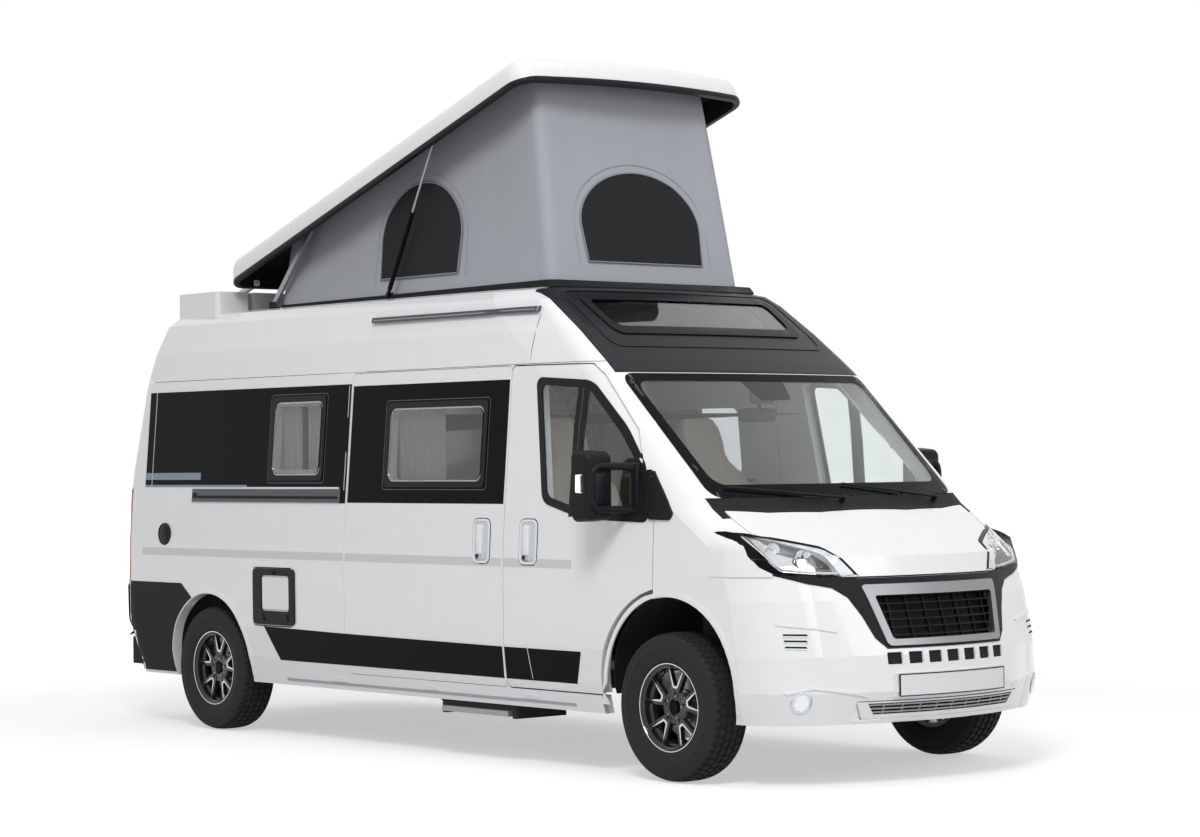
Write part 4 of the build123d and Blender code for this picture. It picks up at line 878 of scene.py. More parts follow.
headlamp = {
    "outline": [(0.938, 1.205), (0.840, 1.196), (0.700, 1.166), (0.552, 1.129), (0.500, 1.066),
                (0.440, 0.984), (0.620, 0.984), (0.845, 1.004), (0.893, 1.036), (0.926, 1.090)],
    "lens": [(0.870, 1.190), (0.700, 1.153), (0.560, 1.118), (0.512, 1.062), (0.462, 0.995), (0.620, 0.998),
             (0.815, 1.016), (0.852, 1.060)],
    "bowls": ((0.765, 1.092, 0.054, 0.50), (0.635, 1.068, 0.047, 0.36)), "trayDepth": 0.085,
}


# A closed outline from its left half.
def mirrorLine(points):
    return points + [(-x, z) for x, z in reversed(points)]


# The nose's own curve, also where the grille's holes are: (x, y, z) on it.
def noseAt(x, z):
    rows, halves = nose["rows"], nose["arcHalf"]
    i = max(0, min(len(rows) - 2, sum(z >= r[0] for r in rows) - 1))
    ends = []
    for (level, middle, corner), half in zip(rows[i:i + 2], halves[i:i + 2]):
        sag = corner - middle
        bend = (half * half + sag * sag) / (2 * sag)
        ends.append(middle + bend - math.sqrt(max(0, bend * bend - x * x)))
    share = (z - rows[i][0]) / (rows[i + 1][0] - rows[i][0])
    return Vector((x, noseY + ends[0] + (ends[1] - ends[0]) * share, z))


def noseFollow(co):
    return noseAt(co.x, co.z) if abs(co.x) < 0.56 else onSkin(co, (0, 1, 0))


inward = (0, 1, 0)


# A trim on the nose, seen from the front.
def layNose(name, outline, proud, depth, look, **more):
    return layPanel(name, outline, inward, proud, depth, look, follow=noseFollow, **more)


frameOut = rounded(mirrorLine(nose["frameOut"]), 0.022)
frameIn = rounded(mirrorLine(nose["frameIn"]), 0.016)
layNose("noseTrim", mirrorLine(nose["trim"]), 0.004, 0.016, "blackSatin", hole=frameOut, cell=0.06,
        bevel=0.002)
grilleRing = layNose("grilleFrame", frameOut, 0.014, 0.030, "silverTrim", hole=frameIn, cell=0.06,
                     bevel=0.006)
backOut = rounded(mirrorLine([(0.375, 0.672), (0.440, 0.935)]), 0.02)
layNose("grilleBack", backOut, -0.060, 0.004, "blackGrain", cell=0.08, bevel=0)
bars = []
n = nose
for i in range(n["gridRows"]):
    z = n["gridLow"] + i * n["gridStep"]
    half = 0.352 + (z - 0.694) / 0.205 * 0.050 + 0.012
    v = n["barWidth"] / 2
    bars.append([(-half, z - v), (half, z - v), (half, z + v), (-half, z + v)])
for i in range(n["gridColumns"]):
    x = (i - 3) * n["columnStep"]
    bars.append([(x - 0.0025, 0.686), (x + 0.0025, 0.686), (x + 0.0025, 0.907), (x - 0.0025, 0.907)])
for k, bar in enumerate(bars):
    layNose("grilleBar_%02d" % k, bar, -0.006 if k < n["gridRows"] else -0.009, 0.022, "blackSatin",
            cell=0.06, bevel=0.001)

# Row of slots under the grille: a dark back and a rim in each
for i in range(7):
    x = (i - 3) * n["slotPitch"]
    s = n["slotHalf"]
    low, high, w = n["slotLow"], n["slotHigh"], n["slotRim"]
    hole = rounded([(x - s + w, low + w), (x + s - w, low + w), (x + s - w, high - w),
                    (x - s + w, high - w)], 0.006)
    rim = [(x - s, low), (x + s, low), (x + s, high), (x - s, high)]
    layNose("slotRim_%d" % i, rim, 0.0005, 0.010, "whitePaint", hole=hole, cell=0.2, bevel=0.001)
    layNose("slotBack_%d" % i, rim, -0.009, 0.004, "blackGrain", bevel=0)

# Blank number plate in a thin dark border
h, v = n["plateHalf"]
zp = n["plateHeight"]
plate = [(-h, zp - v), (h, zp - v), (h, zp + v), (-h, zp + v)]
w = n["plateRim"]
plateIn = [(-h + w, zp - v + w), (h - w, zp - v + w), (h - w, zp + v - w), (-h + w, zp + v - w)]
plateY = min(onSkin((x, 0, zp), inward).y for x in (-h, 0, h)) - 0.002


def plateFollow(co):
    return Vector((co.x, plateY + 0.9 * (noseAt(co.x, zp).y - noseAt(0, zp).y), co.z))


layPanel("plateBorder", rounded(plate, 0.006), inward, 0.004, 0.006, "blackSatin", hole=plateIn, cell=0.06,
         bevel=0.001, follow=plateFollow)
layPanel("numberPlate", plateIn, inward, 0.0025, 0.004, "plateWhite", cell=0.06, bevel=0,
         follow=plateFollow)

# Lower grille: a bright frame with three rows of slots and a deep lower lip
low = mirrorLine(n["lowGrille"])
lowIn = mirrorLine(n["lowGrilleIn"])
layNose("lowerGrille", rounded(low, 0.01), 0.006, 0.022, "whitePaint", hole=lowIn, cell=0.06, bevel=0.003)
layNose("lowerBack", low, -0.030, 0.004, "blackGrain", cell=0.1, bevel=0)
for i, z in enumerate(n["lowBars"]):
    half = 0.462 + (z - 0.343) / 0.053 * 0.038
    bar = [(-half, z - 0.0042), (half, z - 0.0042), (half, z + 0.0042), (-half, z + 0.0042)]
    layNose("lowerBar_%d" % i, bar, 0.003, 0.016, "silverTrim", cell=0.06, bevel=0.001)
for i in range(n["lowPosts"]):
    x = (i - 4) * n["lowPostStep"]
    bar = [(x - 0.004, 0.341), (x + 0.004, 0.341), (x + 0.004, 0.398), (x - 0.004, 0.398)]
    layNose("lowerPost_%d" % i, bar, -0.002, 0.014, "silverTrim", bevel=0.001)
layNose("bumperLip", mirrorLine(n["lip"]), 0.008, 0.02, "whitePaint", cell=0.06, bevel=0.003)
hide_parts("grille")


# Wing's corner under the headlamp's tip. edge is the lamp's lower line, as (height, distance from the
# middle); low and high are where the skin is read, and axis is the upright line that the rays run to
wing = {
    "edge": ((0.990, 0.830), (1.004, 0.845), (1.036, 0.893), (1.090, 0.926), (1.205, 0.938),
             (1.220, 0.938)),
    "low": 0.975, "high": 1.222, "start": 0.994, "step": 0.005, "levels": 44, "axis": (0.75, 0.665),
    "inner": 0.850, "bulgeAt": 0.685, "columns": 45,
}


def wingCorner(name, side):
    bm = bmesh.new()
    low, high = wing["low"], wing["high"]
    rows = [[] for k in range(9)]
    bulge = [onSkin((0, noseY + wing["bulgeAt"], low + (high - low) * k / 12), (-side, 0, 0)).x
             for k in range(13)]
    shares = [(x - bulge[0]) / (bulge[-1] - bulge[0]) for x in bulge]
    for step in range(wing["columns"]):
        turn = math.radians(12 + 79.5 * step / 44)
        out = Vector((side * math.sin(turn), -math.cos(turn), 0))
        x, s = wing["axis"]
        ends = [skin.ray_cast(Vector((side * x, noseY + s, z)) + out, -out, 1.0)[0] for z in (low, high)]
        if None in ends or abs(ends[0].x) < wing["inner"]:
            continue
        column = []
        for k in range(wing["levels"]):
            z = wing["start"] + wing["step"] * k
            place = (z - low) / (high - low) * 12
            one, two = shares[int(place)], shares[min(12, int(place) + 1)]
            spot = ends[0].lerp(ends[1], one + (two - one) * (place - int(place))) + out * 0.001
            reach = next(x0 + (x1 - x0) * (z - z0) / (z1 - z0)
                         for (z0, x0), (z1, x1) in zip(wing["edge"], wing["edge"][1:]) if z <= z1)
            if column and abs(spot.x) < reach - 0.003:
                break
            column.append((spot.x, spot.y, z))
        for k, row in enumerate(rows):
            row.append(bm.verts.new(column[round((len(column) - 1) * k / 8)]))
    rows = [[bm.edges.new(pair) for pair in zip(row, row[1:])] for row in rows]
    for one, two in zip(rows, rows[1:]):
        bmesh.ops.bridge_loops(bm, edges=one + two)
    bmesh.ops.solidify(bm, geom=bm.faces[:], thickness=0.003)
    return finishPiece(name, bm, "whitePaint", "root", 50)


for word, side in sides:
    wingCorner("wingCorner_" + word, side)

# Headlamps, fog lamps and the vents beside the grille, as (distance from the middle, height)
fogLamp = {"middle": (0.800, 0.410), "half": (0.037, 0.051), "inner": 0.80,
           "brow": [(0.500, 0.425), (0.560, 0.440), (0.760, 0.470), (0.860, 0.448), (0.870, 0.458),
                    (0.765, 0.482), (0.560, 0.452)]}
vent = {"slits": 3, "top": 0.718, "step": 0.0285, "lip": 0.007,
        "brow": [(0.612, 0.742), (0.700, 0.760), (0.872, 0.781), (0.874, 0.768), (0.702, 0.746),
                 (0.620, 0.730)]}

for word, side in sides:
    outline = [(side * x, z) for x, z in headlamp["outline"]]
    lens = [(side * x, z) for x, z in headlamp["lens"]]
    outLine, lensLine = rounded(outline, 0.012, 4), rounded(lens, 0.014, 4)
    layPanel("lampBorder_" + word, outLine, inward, 0.0035, 0.060, "blackGloss", hole=lensLine, cell=0.05,
             bevel=0.002)
    layPanel("lampLens_" + word, lensLine, inward, 0.0030, 0.0035, "lensClear", cell=0.05, bevel=0)
    tray = layPanel("lampTray_" + word, outLine, inward, -headlamp["trayDepth"], 0.004, "chrome", cell=0.05,
                    bevel=0)
    if side < 0:
        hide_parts("front_lamps")
    for k, (x, z, radius, share) in enumerate(headlamp["bowls"]):
        edges = [onSkin((side * (x + radius * a), 0, z + radius * b), inward).y for a, b in
                 ((1, 0), (-1, 0), (0, 1), (0, -1))]
        face = max(edges) + 0.006
        bm = bmesh.new()
        profile = [(-0.070 * (1 - (r / 10) ** 2), radius * r / 10) for r in range(2, 11)]
        profile += [(0.003, radius + 0.0015), (0.003, radius + 0.005), (-0.004, radius + 0.006)]
        lathe(bm, [(-a, r) for a, r in profile], (side * x, face, z), 40, (0, 1, 0))
        finishPiece("lampBowl_%s_%d" % (word, k), bm, "chrome", "root", 30, outward=False)
        bm = bmesh.new()
        lathe(bm, [(0.066, 0.011), (0.030, 0.010), (0.016, 0.011), (0.010, 0.008), (0.008, 0.0)],
              (side * x, face, z), 20, (0, 1, 0))
        finishPiece("lampBulb_%s_%d" % (word, k), bm, "silverTrim" if k else "lensClear", "root", 30)
    bm = bmesh.new()
    strip = [(0.480, 1.004), (0.60, 1.006), (0.72, 1.016), (0.80, 1.026), (0.835, 1.060), (0.852, 1.12),
             (0.862, 1.178)]
    spots = [onSkin((side * x, 0, z), inward) + Vector((0, 0.010, 0)) for x, z in strip]
    tubeAlong(bm, spots, 0.0055, 10)
    finishPiece("lampStrip_" + word, bm, "plateWhite", "root", 40)
    for k in range(5):
        x0, x1 = 0.835 - k * 0.007, 0.812 - k * 0.012
        bm = bmesh.new()
        top = onSkin((side * (x0 - 0.004), 0, 1.176 - k * 0.004), inward) + Vector((0, 0.020, 0))
        foot = onSkin((side * (x1 - 0.002), 0, 1.045), inward) + Vector((0, 0.020, 0))
        rodPiece(bm, top, foot, 0.0022, 8)
        finishPiece("lampRib_%s_%d" % (word, k), bm, "chrome", "root", 40)
    bm = bmesh.new()
    turn = onSkin((side * 0.545, 0, 1.060), inward) + Vector((0, 0.028, 0))
    lathe(bm, [(0.03, 0.002), (0.018, 0.016), (0.004, 0.026), (0.0, 0.027), (0.0, 0.029), (0.006, 0.029)],
          turn, 28, (0, 1, 0))
    finishPiece("turnBowl_" + word, bm, "chrome", "root", 30, outward=False)
    bm = bmesh.new()
    bmesh.ops.create_uvsphere(bm, u_segments=20, v_segments=12, radius=0.010,
                              matrix=Matrix.Translation(turn + Vector((0, 0.010, 0))))
    finishPiece("turnBulb_" + word, bm, "amberLens", "root", 60)

    # fog lamp: a bezel, a bright bowl and a lens, round when seen along the corner
    turns = [math.tau * k / 36 for k in range(36)]
    (x, z), (a, b) = fogLamp["middle"], fogLamp["half"]
    fogOut, fogIn = ([(side * (x + k * a * math.cos(t)), z + k * b * math.sin(t)) for t in turns]
                     for k in (1, fogLamp["inner"]))
    layPanel("fogBezel_" + word, fogOut, inward, 0.005, 0.008, "whitePlastic", hole=fogIn, bevel=0.002)
    layPanel("fogBowl_" + word, fogIn, inward, 0.001, 0.003, "chrome", cell=0.02, bevel=0)
    layPanel("fogLens_" + word, fogIn, inward, 0.0035, 0.0015, "lensClear", cell=0.02, bevel=0)
    brow = [(side * x, z) for x, z in fogLamp["brow"]]
    layPanel("fogBrow_" + word, brow, inward, 0.006, 0.008, "whitePaint", cell=0.05, bevel=0.003)

    # three slits beside the grille, under a brow
    for k in range(vent["slits"]):
        z = vent["top"] - k * vent["step"]
        slit = [(side * x, v) for x, v in ((0.756 + k * 0.006, z), (0.858, z + 0.004), (0.856, z + 0.013),
                                           (0.762 + k * 0.006, z + 0.010))]
        layPanel("ventSlit_%s_%d" % (word, k), slit, inward, 0.0012, 0.003, "blackGrain", cell=0.05,
                 bevel=0)
        lipLine = [(x, v - vent["lip"]) for x, v in slit]
        layPanel("ventLip_%s_%d" % (word, k), [lipLine[0], lipLine[1], slit[1], slit[0]], inward, 0.005,
                 0.008, "whitePaint", cell=0.05, bevel=0.0015)
    browLine = [(side * x, v) for x, v in vent["brow"]]
    layPanel("ventBrow_" + word, browLine, inward, 0.006, 0.008, "whitePaint", cell=0.05, bevel=0.003)
print("front end made")

# Pop roof. Along the lid, run is counted from its pivot (minus is forwards) and up through its thickness
roof = {
    "pivotY": 2.451, "pivotZ": 2.480, "raise": math.radians(18.5),
    "lidHalf": 0.80, "lidRear": -0.39, "lidFront": -3.33, "lidBow": 0.055, "lidCorner": 0.11,
    "lidCrown": 0.012,
    "lidProfile": ((-0.007, 0.0), (0.018, 0.0), (0.060, -0.002), (0.095, -0.010), (0.120, -0.026),
                   (0.135, -0.052), (0.141, -0.090), (0.143, -0.150)),
    "lidThick": 0.038,
    "tentBaseHalf": 0.668, "tentTopHalf": 0.600, "tentBaseZ": 2.4655, "tentFrontY": -0.787,
    "tentRearY": 1.739,
    "tentTopFront": -3.225, "tentTopRear": -0.790, "tentTopUp": 0.1040, "tentCorner": 0.055,
    "tentSag": 0.012, "tentLevels": 30,
    "sideWindow": (0.005, 0.748, 2.572, 3.090), "frontWindow": (-0.410, 0.425, 2.598, 3.090),
    "seamGap": 0.045,
    # lip over the skylight
    "lipHalf": 0.715, "lipY": (-0.846, -0.8125), "lipZ": (2.4502, 2.4915), "lipBow": 0.052,
    "lipDrop": 0.033,
    # skylight and windscreen borders from the front, as (distance from the middle, height)
    "sealOut": [(0.652, 2.190), (0.668, 2.410)], "sealIn": [(0.606, 2.230), (0.626, 2.376)],
    "ridgeOut": [(0.742, 2.122), (0.736, 2.432)], "ridgeIn": [(0.728, 2.132), (0.722, 2.424)],
    "screenOut": [(0.832, 1.364), (0.832, 1.982)], "screenIn": [(0.770, 1.424), (0.786, 1.944)],
    "sensor": [(-0.155, 1.955), (0.155, 1.955), (0.105, 1.845), (-0.105, 1.845)],
    # along the side, as (start, end, low, high)
    "awning": (2.06, 3.46, 2.306, 2.334), "awningSlot": (2.08, 3.44, 2.315, 2.321),
    "shellJoint": (2.048, 2.052, 2.070, 2.30),
    # pivot and tip of each wiper, seen from the front
    "wipers": ((-0.10, 1.335, -0.735, 1.395), (0.60, 1.330, -0.02, 1.402)),
}


def lidPoint(x, run, up):
    a = roof["raise"]
    return Vector((x, roof["pivotY"] + run * math.cos(a) + up * math.sin(a),
                   roof["pivotZ"] - run * math.sin(a) + up * math.cos(a)))


# The lid's plan as (x, run), moved in by an inset, with a bowed front edge.
def lidOutline(inset, steps=9):
    r = roof
    half, corner = r["lidHalf"] + inset, max(0.03, r["lidCorner"] + inset)
    back, front = r["lidRear"] + inset, r["lidFront"] - inset
    line = []
    for cx, cr, start in ((half - corner, back - corner, 0), (-half + corner, back - corner, 90),
                          (-half + corner, front + corner, 180), (half - corner, front + corner, 270)):
        for k in range(steps + 1):
            turn = math.radians(start + 90 * k / steps)
            line.append((cx + corner * math.cos(turn), cr + corner * math.sin(turn)))
        if start == 180:
            line += [(-half + corner + (2 * half - 2 * corner) * k / 16, front) for k in range(1, 16)]
        if start in (90, 270):
            ends = (back - corner, front + corner) if start == 90 else (front + corner, back - corner)
            line += [(-half if start == 90 else half, ends[0] + (ends[1] - ends[0]) * k / 12)
                     for k in range(1, 12)]
    bowed = []
    for x, run in line:
        share = max(0, (r["lidFront"] + 0.5 - run) / 0.5)
        bowed.append((x, run - r["lidBow"] * share ** 2 * (1 - (x / half) ** 2)))
    return bowed


# Loops round the lid, one for each pair of height and inset.
def lidRings(bm, pairs):
    return [ringOf(bm, [lidPoint(x, run, up) for x, run in lidOutline(inset)]) for up, inset in pairs]


def makeLid():
    bm = bmesh.new()
    rings = []
    for up, inset in roof["lidProfile"]:
        crown = roof["lidCrown"] if up > 0.13 else 0
        rings.append(ringOf(bm, [lidPoint(x, run, up + crown * (1 - (x / 0.8) ** 2))
                                 for x, run in lidOutline(inset)]))
    bridgeRings(bm, rings)
    bmesh.ops.triangle_fill(bm, use_beauty=True, edges=rings[-1][1])
    t = roof["lidThick"]
    inner = lidRings(bm, ((-0.007, -0.012), (0.004, -t * 0.8), (0.060, -t), (0.100, -t - 0.012),
                          (0.106, -t - 0.04)))
    bridgeRings(bm, [rings[0], *inner])
    bmesh.ops.triangle_fill(bm, use_beauty=True, edges=inner[-1][1])
    lid = finishPiece("lidShell", bm, "whitePlastic", "pop_roof", 30)
    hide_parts("pop_roof")
    # the two straps back to the pivots, with an eye round each pin
    bm = bmesh.new()
    for x in (-0.620, 0.620):
        section = ((-0.015, -0.007), (0.015, -0.007), (0.015, 0.023), (-0.015, 0.023))
        ends = [[lidPoint(x + a, run, up) for a, up in section] for run in (-0.440, -0.014)]
        bridgeRings(bm, [ringOf(bm, end) for end in ends])
        bmesh.ops.holes_fill(bm, edges=bm.edges, sides=4)
        lathe(bm, [(-0.015, 0.0084), (-0.015, 0.018), (0.015, 0.018), (0.015, 0.0084), (-0.015, 0.0084)],
              (x, roof["pivotY"], roof["pivotZ"]), 32, (1, 0, 0))
    finishPiece("lidStraps", bm, "whitePlastic", "pop_roof", 30)
    # black edge trim round the lower edge, and the dark lining under the lid
    bm = bmesh.new()
    edge = lidRings(bm,
                    ((0.014, 0.0004), (0.013, 0.0055), (-0.004, 0.008), (-0.013, 0.004), (-0.015, -0.008),
                         (-0.012, -0.026), (-0.0065, -0.030), (-0.0068, -0.002)))
    bridgeRings(bm, edge, closed=True)
    finishPiece("lidEdge", bm, "blackSatin", "pop_roof", 30)
    bm = bmesh.new()
    lining = lidRings(bm, ((-0.0065, -0.014), (0.003, -t * 0.8 - 0.003), (0.060, -t - 0.003),
                           (0.0985, -t - 0.014), (0.1045, -t - 0.045)))
    bridgeRings(bm, lining)
    bmesh.ops.triangle_fill(bm, use_beauty=True, edges=lining[-1][1])
    finishPiece("lidLining", bm, "blackGrain", "pop_roof", 30)


# Height of the lid's ceiling over a place along the van.
def tentTopZ(y):
    low = lidPoint(0, roof["tentTopRear"], roof["tentTopUp"])
    high = lidPoint(0, roof["tentTopFront"], roof["tentTopUp"])
    return low.z + (y - low.y) / (high.y - low.y) * (high.z - low.z)


# How far the cloth hangs in, at a place along its edge and a share of its height.
def tentFold(a, t):
    hang = math.sin(math.pi * min(1, max(0, t)))
    folds = 0.45 * math.sin(a * 9.0 + 2.2 * t) + 0.3 * math.sin(a * 23.0 - 3 * t)
    folds += 0.25 * math.sin(a * 51 + 5 * t)
    return -roof["tentSag"] * hang + 0.0028 * folds * (0.25 + hang)


def tentSide(y, z, side, out=0.0):
    r = roof
    t = (z - r["tentBaseZ"]) / (tentTopZ(y) - r["tentBaseZ"])
    half = r["tentBaseHalf"] + (r["tentTopHalf"] - r["tentBaseHalf"]) * t
    return Vector((side * (half + tentFold(y, t) + out), y, z))


def tentFront(x, z, out=0.0):
    r = roof
    top = lidPoint(0, r["tentTopFront"], r["tentTopUp"])
    t = (z - r["tentBaseZ"]) / (top.z - r["tentBaseZ"])
    y = r["tentFrontY"] + (top.y - r["tentFrontY"]) * t
    return Vector((x, y - tentFold(x + 0.7, t) - out, z))


# A level loop round the cloth at a share of its height.
def tentRing(t, proud=0.0):
    r = roof
    front = lidPoint(0, r["tentTopFront"], r["tentTopUp"])
    back = lidPoint(0, r["tentTopRear"], r["tentTopUp"])
    y0 = r["tentFrontY"] + (front.y - r["tentFrontY"]) * t
    y1 = r["tentRearY"] + (back.y - r["tentRearY"]) * t
    half, c = r["tentBaseHalf"] + (r["tentTopHalf"] - r["tentBaseHalf"]) * t, r["tentCorner"]
    half, y0, y1 = half + proud, y0 - proud, y1 + proud
    line = []

    def run(x0, ya, x1, yb, count, outX, outY, along):
        for k in range(count):
            s = k / count
            x, y = x0 + (x1 - x0) * s, ya + (yb - ya) * s
            fold = tentFold(along(x, y), t) * min(1, 6 * s, 6 * (1 - s))
            line.append((x + outX * fold, y + outY * fold))

    def corner(cx, cy, start):
        for k in range(7):
            turn = math.radians(start - 90 * k / 6)
            line.append((cx + c * math.cos(turn), cy + c * math.sin(turn)))

    run(half, y1 - c, half, y0 + c, 64, 1, 0, lambda x, y: y)
    corner(half - c, y0 + c, 0)
    run(half - c, y0, -half + c, y0, 40, 0, -1, lambda x, y: x + 0.7)
    corner(-half + c, y0 + c, -90)
    run(-half, y0 + c, -half, y1 - c, 64, -1, 0, lambda x, y: y)
    corner(-half + c, y1 - c, 180)
    run(-half + c, y1, half - c, y1, 30, 0, 1, lambda x, y: x)
    corner(half - c, y1 - c, 90)
    z0 = r["tentBaseZ"]
    return [Vector((x, y, z0 + (tentTopZ(y) - z0) * t)) for x, y in line]


# A net window with a round top and the piping round it, on the cloth.
def archWindow(name, place, box):
    a0, a1, z0, z1 = box
    mid, half, spring = (a0 + a1) / 2, (a1 - a0) / 2, z0 + (z1 - z0) * 0.40
    rows, bm = 26, bmesh.new()

    def halfAt(z):
        if z < spring:
            return half * (1 - 0.04 * (spring - z) / (spring - z0))
        lift = (z - spring) / (z1 - spring)
        return half * math.sqrt(max(0, 1 - lift ** 2))

    levels = [z0 + (z1 - z0) * (1 - (1 - k / rows) ** 1.6) for k in range(rows)] + [z1 - 0.0004]
    lines = []
    for z in levels:
        row = [bm.verts.new(place(mid + halfAt(z) * (2 * k / 14 - 1), z, 0.007)) for k in range(15)]
        lines.append([bm.edges.new(pair) for pair in zip(row, row[1:])])
    for one, two in zip(lines, lines[1:]):
        bmesh.ops.bridge_loops(bm, edges=one + two)
    net = finishPiece(name + "Net", bm, "meshNet", "root", 60)
    outline = [place(mid - halfAt(z), z, 0.009) for z in levels]
    outline += [place(mid + halfAt(z), z, 0.009) for z in reversed(levels)]
    base = [place(mid + half * 0.96 * (1 - 2 * k / 10), z0, 0.009) for k in range(1, 10)]
    bm = bmesh.new()
    tubeAlong(bm, outline + base, 0.0042, 8, closed=True)
    piping = finishPiece(name + "Piping", bm, "tentPiping", "root", 60)
    wide, tall = half + roof["seamGap"], z1 + roof["seamGap"] - spring
    seam = [place(mid + wide, z0 - 0.02, 0.007)]
    for k in range(25):
        turn = math.pi * k / 24
        seam.append(place(mid + wide * math.cos(turn), spring + tall * math.sin(turn), 0.007))
    seam.append(place(mid - wide, z0 - 0.02, 0.007))
    bm = bmesh.new()
    tubeAlong(bm, seam, 0.0014, 6)
    stitch = finishPiece(name + "Seam", bm, "tentCloth", "root", 60)
    return [net, piping, stitch]


def makeTent():
    levels = roof["tentLevels"]
    bm = bmesh.new()
    rings = [ringOf(bm, tentRing(k / levels)) for k in range(levels + 1)]
    bridgeRings(bm, rings)
    cloth = finishPiece("tentCloth", bm, "tentCloth", "root", 60)
    extras = []
    a0, a1, z0, z1 = roof["sideWindow"]
    for word, side in sides:
        extras += archWindow("tentSide_" + word, lambda y, z, out, side=side: tentSide(y, z, side, out),
                             (a0, a1, z0, z1))
    extras += archWindow("tentFront", tentFront, roof["frontWindow"])
    bm = bmesh.new()
    hemLines = ((0.002, 0.0005), (0.002, 0.004), (0.024, 0.0042), (0.024, 0.0005))
    hem = [ringOf(bm, tentRing(t, proud)) for t, proud in hemLines]
    bridgeRings(bm, hem)
    extras.append(finishPiece("tentHem", bm, "blackGrain", "root", 40))
    for word, side in sides:
        bm = bmesh.new()
        top = lidPoint(0, roof["tentTopFront"], roof["tentTopUp"])
        seam = [tentSide(roof["tentFrontY"] + 0.085 + (top.y - roof["tentFrontY"]) * k / 20,
                         roof["tentBaseZ"] + (top.z - roof["tentBaseZ"] - 0.06) * k / 20, side, 0.001)
                for k in range(21)]
        tubeAlong(bm, seam, 0.0016, 6)
        extras.append(finishPiece("tentCornerSeam_" + word, bm, "tentPiping", "root", 60))
    for piece in [cloth, *extras]:
        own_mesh(piece)
    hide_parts("tent")


makeLid()
makeTent()

# Black lip across the front of the tent's frame, over the skylight
bm = bmesh.new()
half, (y0, y1), (z0, z1) = roof["lipHalf"], roof["lipY"], roof["lipZ"]
boxPiece(bm, (-half, y0, z0), (half, y1, z1), 0)
for k in range(1, 16):
    bmesh.ops.bisect_plane(bm, geom=bm.verts[:] + bm.edges[:] + bm.faces[:],
                           plane_co=(-half + 2 * half * k / 16, 0, 0), plane_no=(1, 0, 0))
for v in bm.verts:
    front = v.co.y < -0.83
    v.co.y -= roof["lipBow"] * (1 - (v.co.x / half) ** 2) * front
    v.co.z -= roof["lipDrop"] * (front and v.co.z > 2.46)
long = [e for e in bm.edges if abs((e.verts[0].co - e.verts[1].co).normalized().x) > 0.9]
bevelEdges(bm, long, 0.003, 2)
finishPiece("roofLip", bm, "blackSatin", "root", 40)

# Skylight seal, the raised line round it, and the windscreen's dark border with its sensor box
layPanel("skylightSeal", rounded(mirrorLine(roof["sealOut"]), 0.05), inward, 0.007, 0.008, "blackSatin",
         hole=rounded(mirrorLine(roof["sealIn"]), 0.04), cell=0.08, bevel=0.002)
layPanel("fairingRidge", rounded(mirrorLine(roof["ridgeOut"]), 0.06), inward, 0.0035, 0.006,
         "fairingPaint", hole=rounded(mirrorLine(roof["ridgeIn"]), 0.05), cell=0.08, bevel=0.0025)
layPanel("screenBorder", rounded(mirrorLine(roof["screenOut"]), 0.05), inward, 0.0012, 0.002, "blackGloss",
         hole=rounded(mirrorLine(roof["screenIn"]), 0.06), cell=0.06, bevel=0)
layPanel("sensorPatch", rounded(roof["sensor"], 0.018), inward, -0.008, 0.003, "blackGrain", cell=0.08,
         bevel=0)
bm = bmesh.new()
spot = onSkin((0.0, 0, 1.90), inward)
boxPiece(bm, (spot.x - 0.07, spot.y + 0.03, 1.825), (spot.x + 0.07, spot.y + 0.085, 1.915), 0.016, 3)
boxPiece(bm, (spot.x - 0.125, spot.y + 0.075, 1.735), (spot.x + 0.125, spot.y + 0.105, 1.805), 0.014, 3)
rodPiece(bm, (spot.x, spot.y + 0.07, 1.84), (spot.x, spot.y + 0.09, 1.77), 0.010, 16)
finishPiece("cabinMirror", bm, "blackGrain", "root", 40)

# Awning rail on the right, and the roof shell's joint behind the cab
layPanel("awningRail", sideBox(*roof["awning"]), (1, 0, 0), 0.024, 0.022,
         "railMetal", cell=0.2, bevel=0.004)
layPanel("awningSlot", sideBox(*roof["awningSlot"]), (1, 0, 0), 0.0246, 0.002,
         "silverTrim", cell=0.2, bevel=0)
for word, side in sides:
    layPanel("shellJoint_" + word, sideBox(*roof["shellJoint"]),
             (-side, 0, 0), 0.0006, 0.003, "railMetal", cell=0.06, bevel=0)

# Wipers: an arm and a blade each, parked in the cowl
for k, (x0, z0, x1, z1) in enumerate(roof["wipers"]):
    pivot = onSkin((x0, 0, z0), inward)
    tip = onSkin((x1, 0, z1), inward)
    mid = onSkin((x0 + (x1 - x0) * 0.55, 0, z0 + (z1 - z0) * 0.55), inward)
    off = Vector((0, -0.020, 0.020))
    bm = bmesh.new()
    rodPiece(bm, pivot, pivot + off * 1.3, 0.013, 20)
    rodPiece(bm, pivot + off, mid + off, 0.0075, 10, radiusEnd=0.005)
    finishPiece("wiperArm_%d" % k, bm, "blackSatin", "root", 40)
    bm = bmesh.new()
    spots = []
    for i in range(13):
        share = 0.12 + 0.88 * i / 12
        place = (x0 + (x1 - x0) * share, 0, z0 + 0.012 + (z1 - z0) * share)
        spots.append(onSkin(place, inward) + off * 0.45)
    tubeAlong(bm, spots, 0.0055, 8)
    finishPiece("wiperBlade_%d" % k, bm, "blackGrain", "root", 40)
print("roof and screen made")

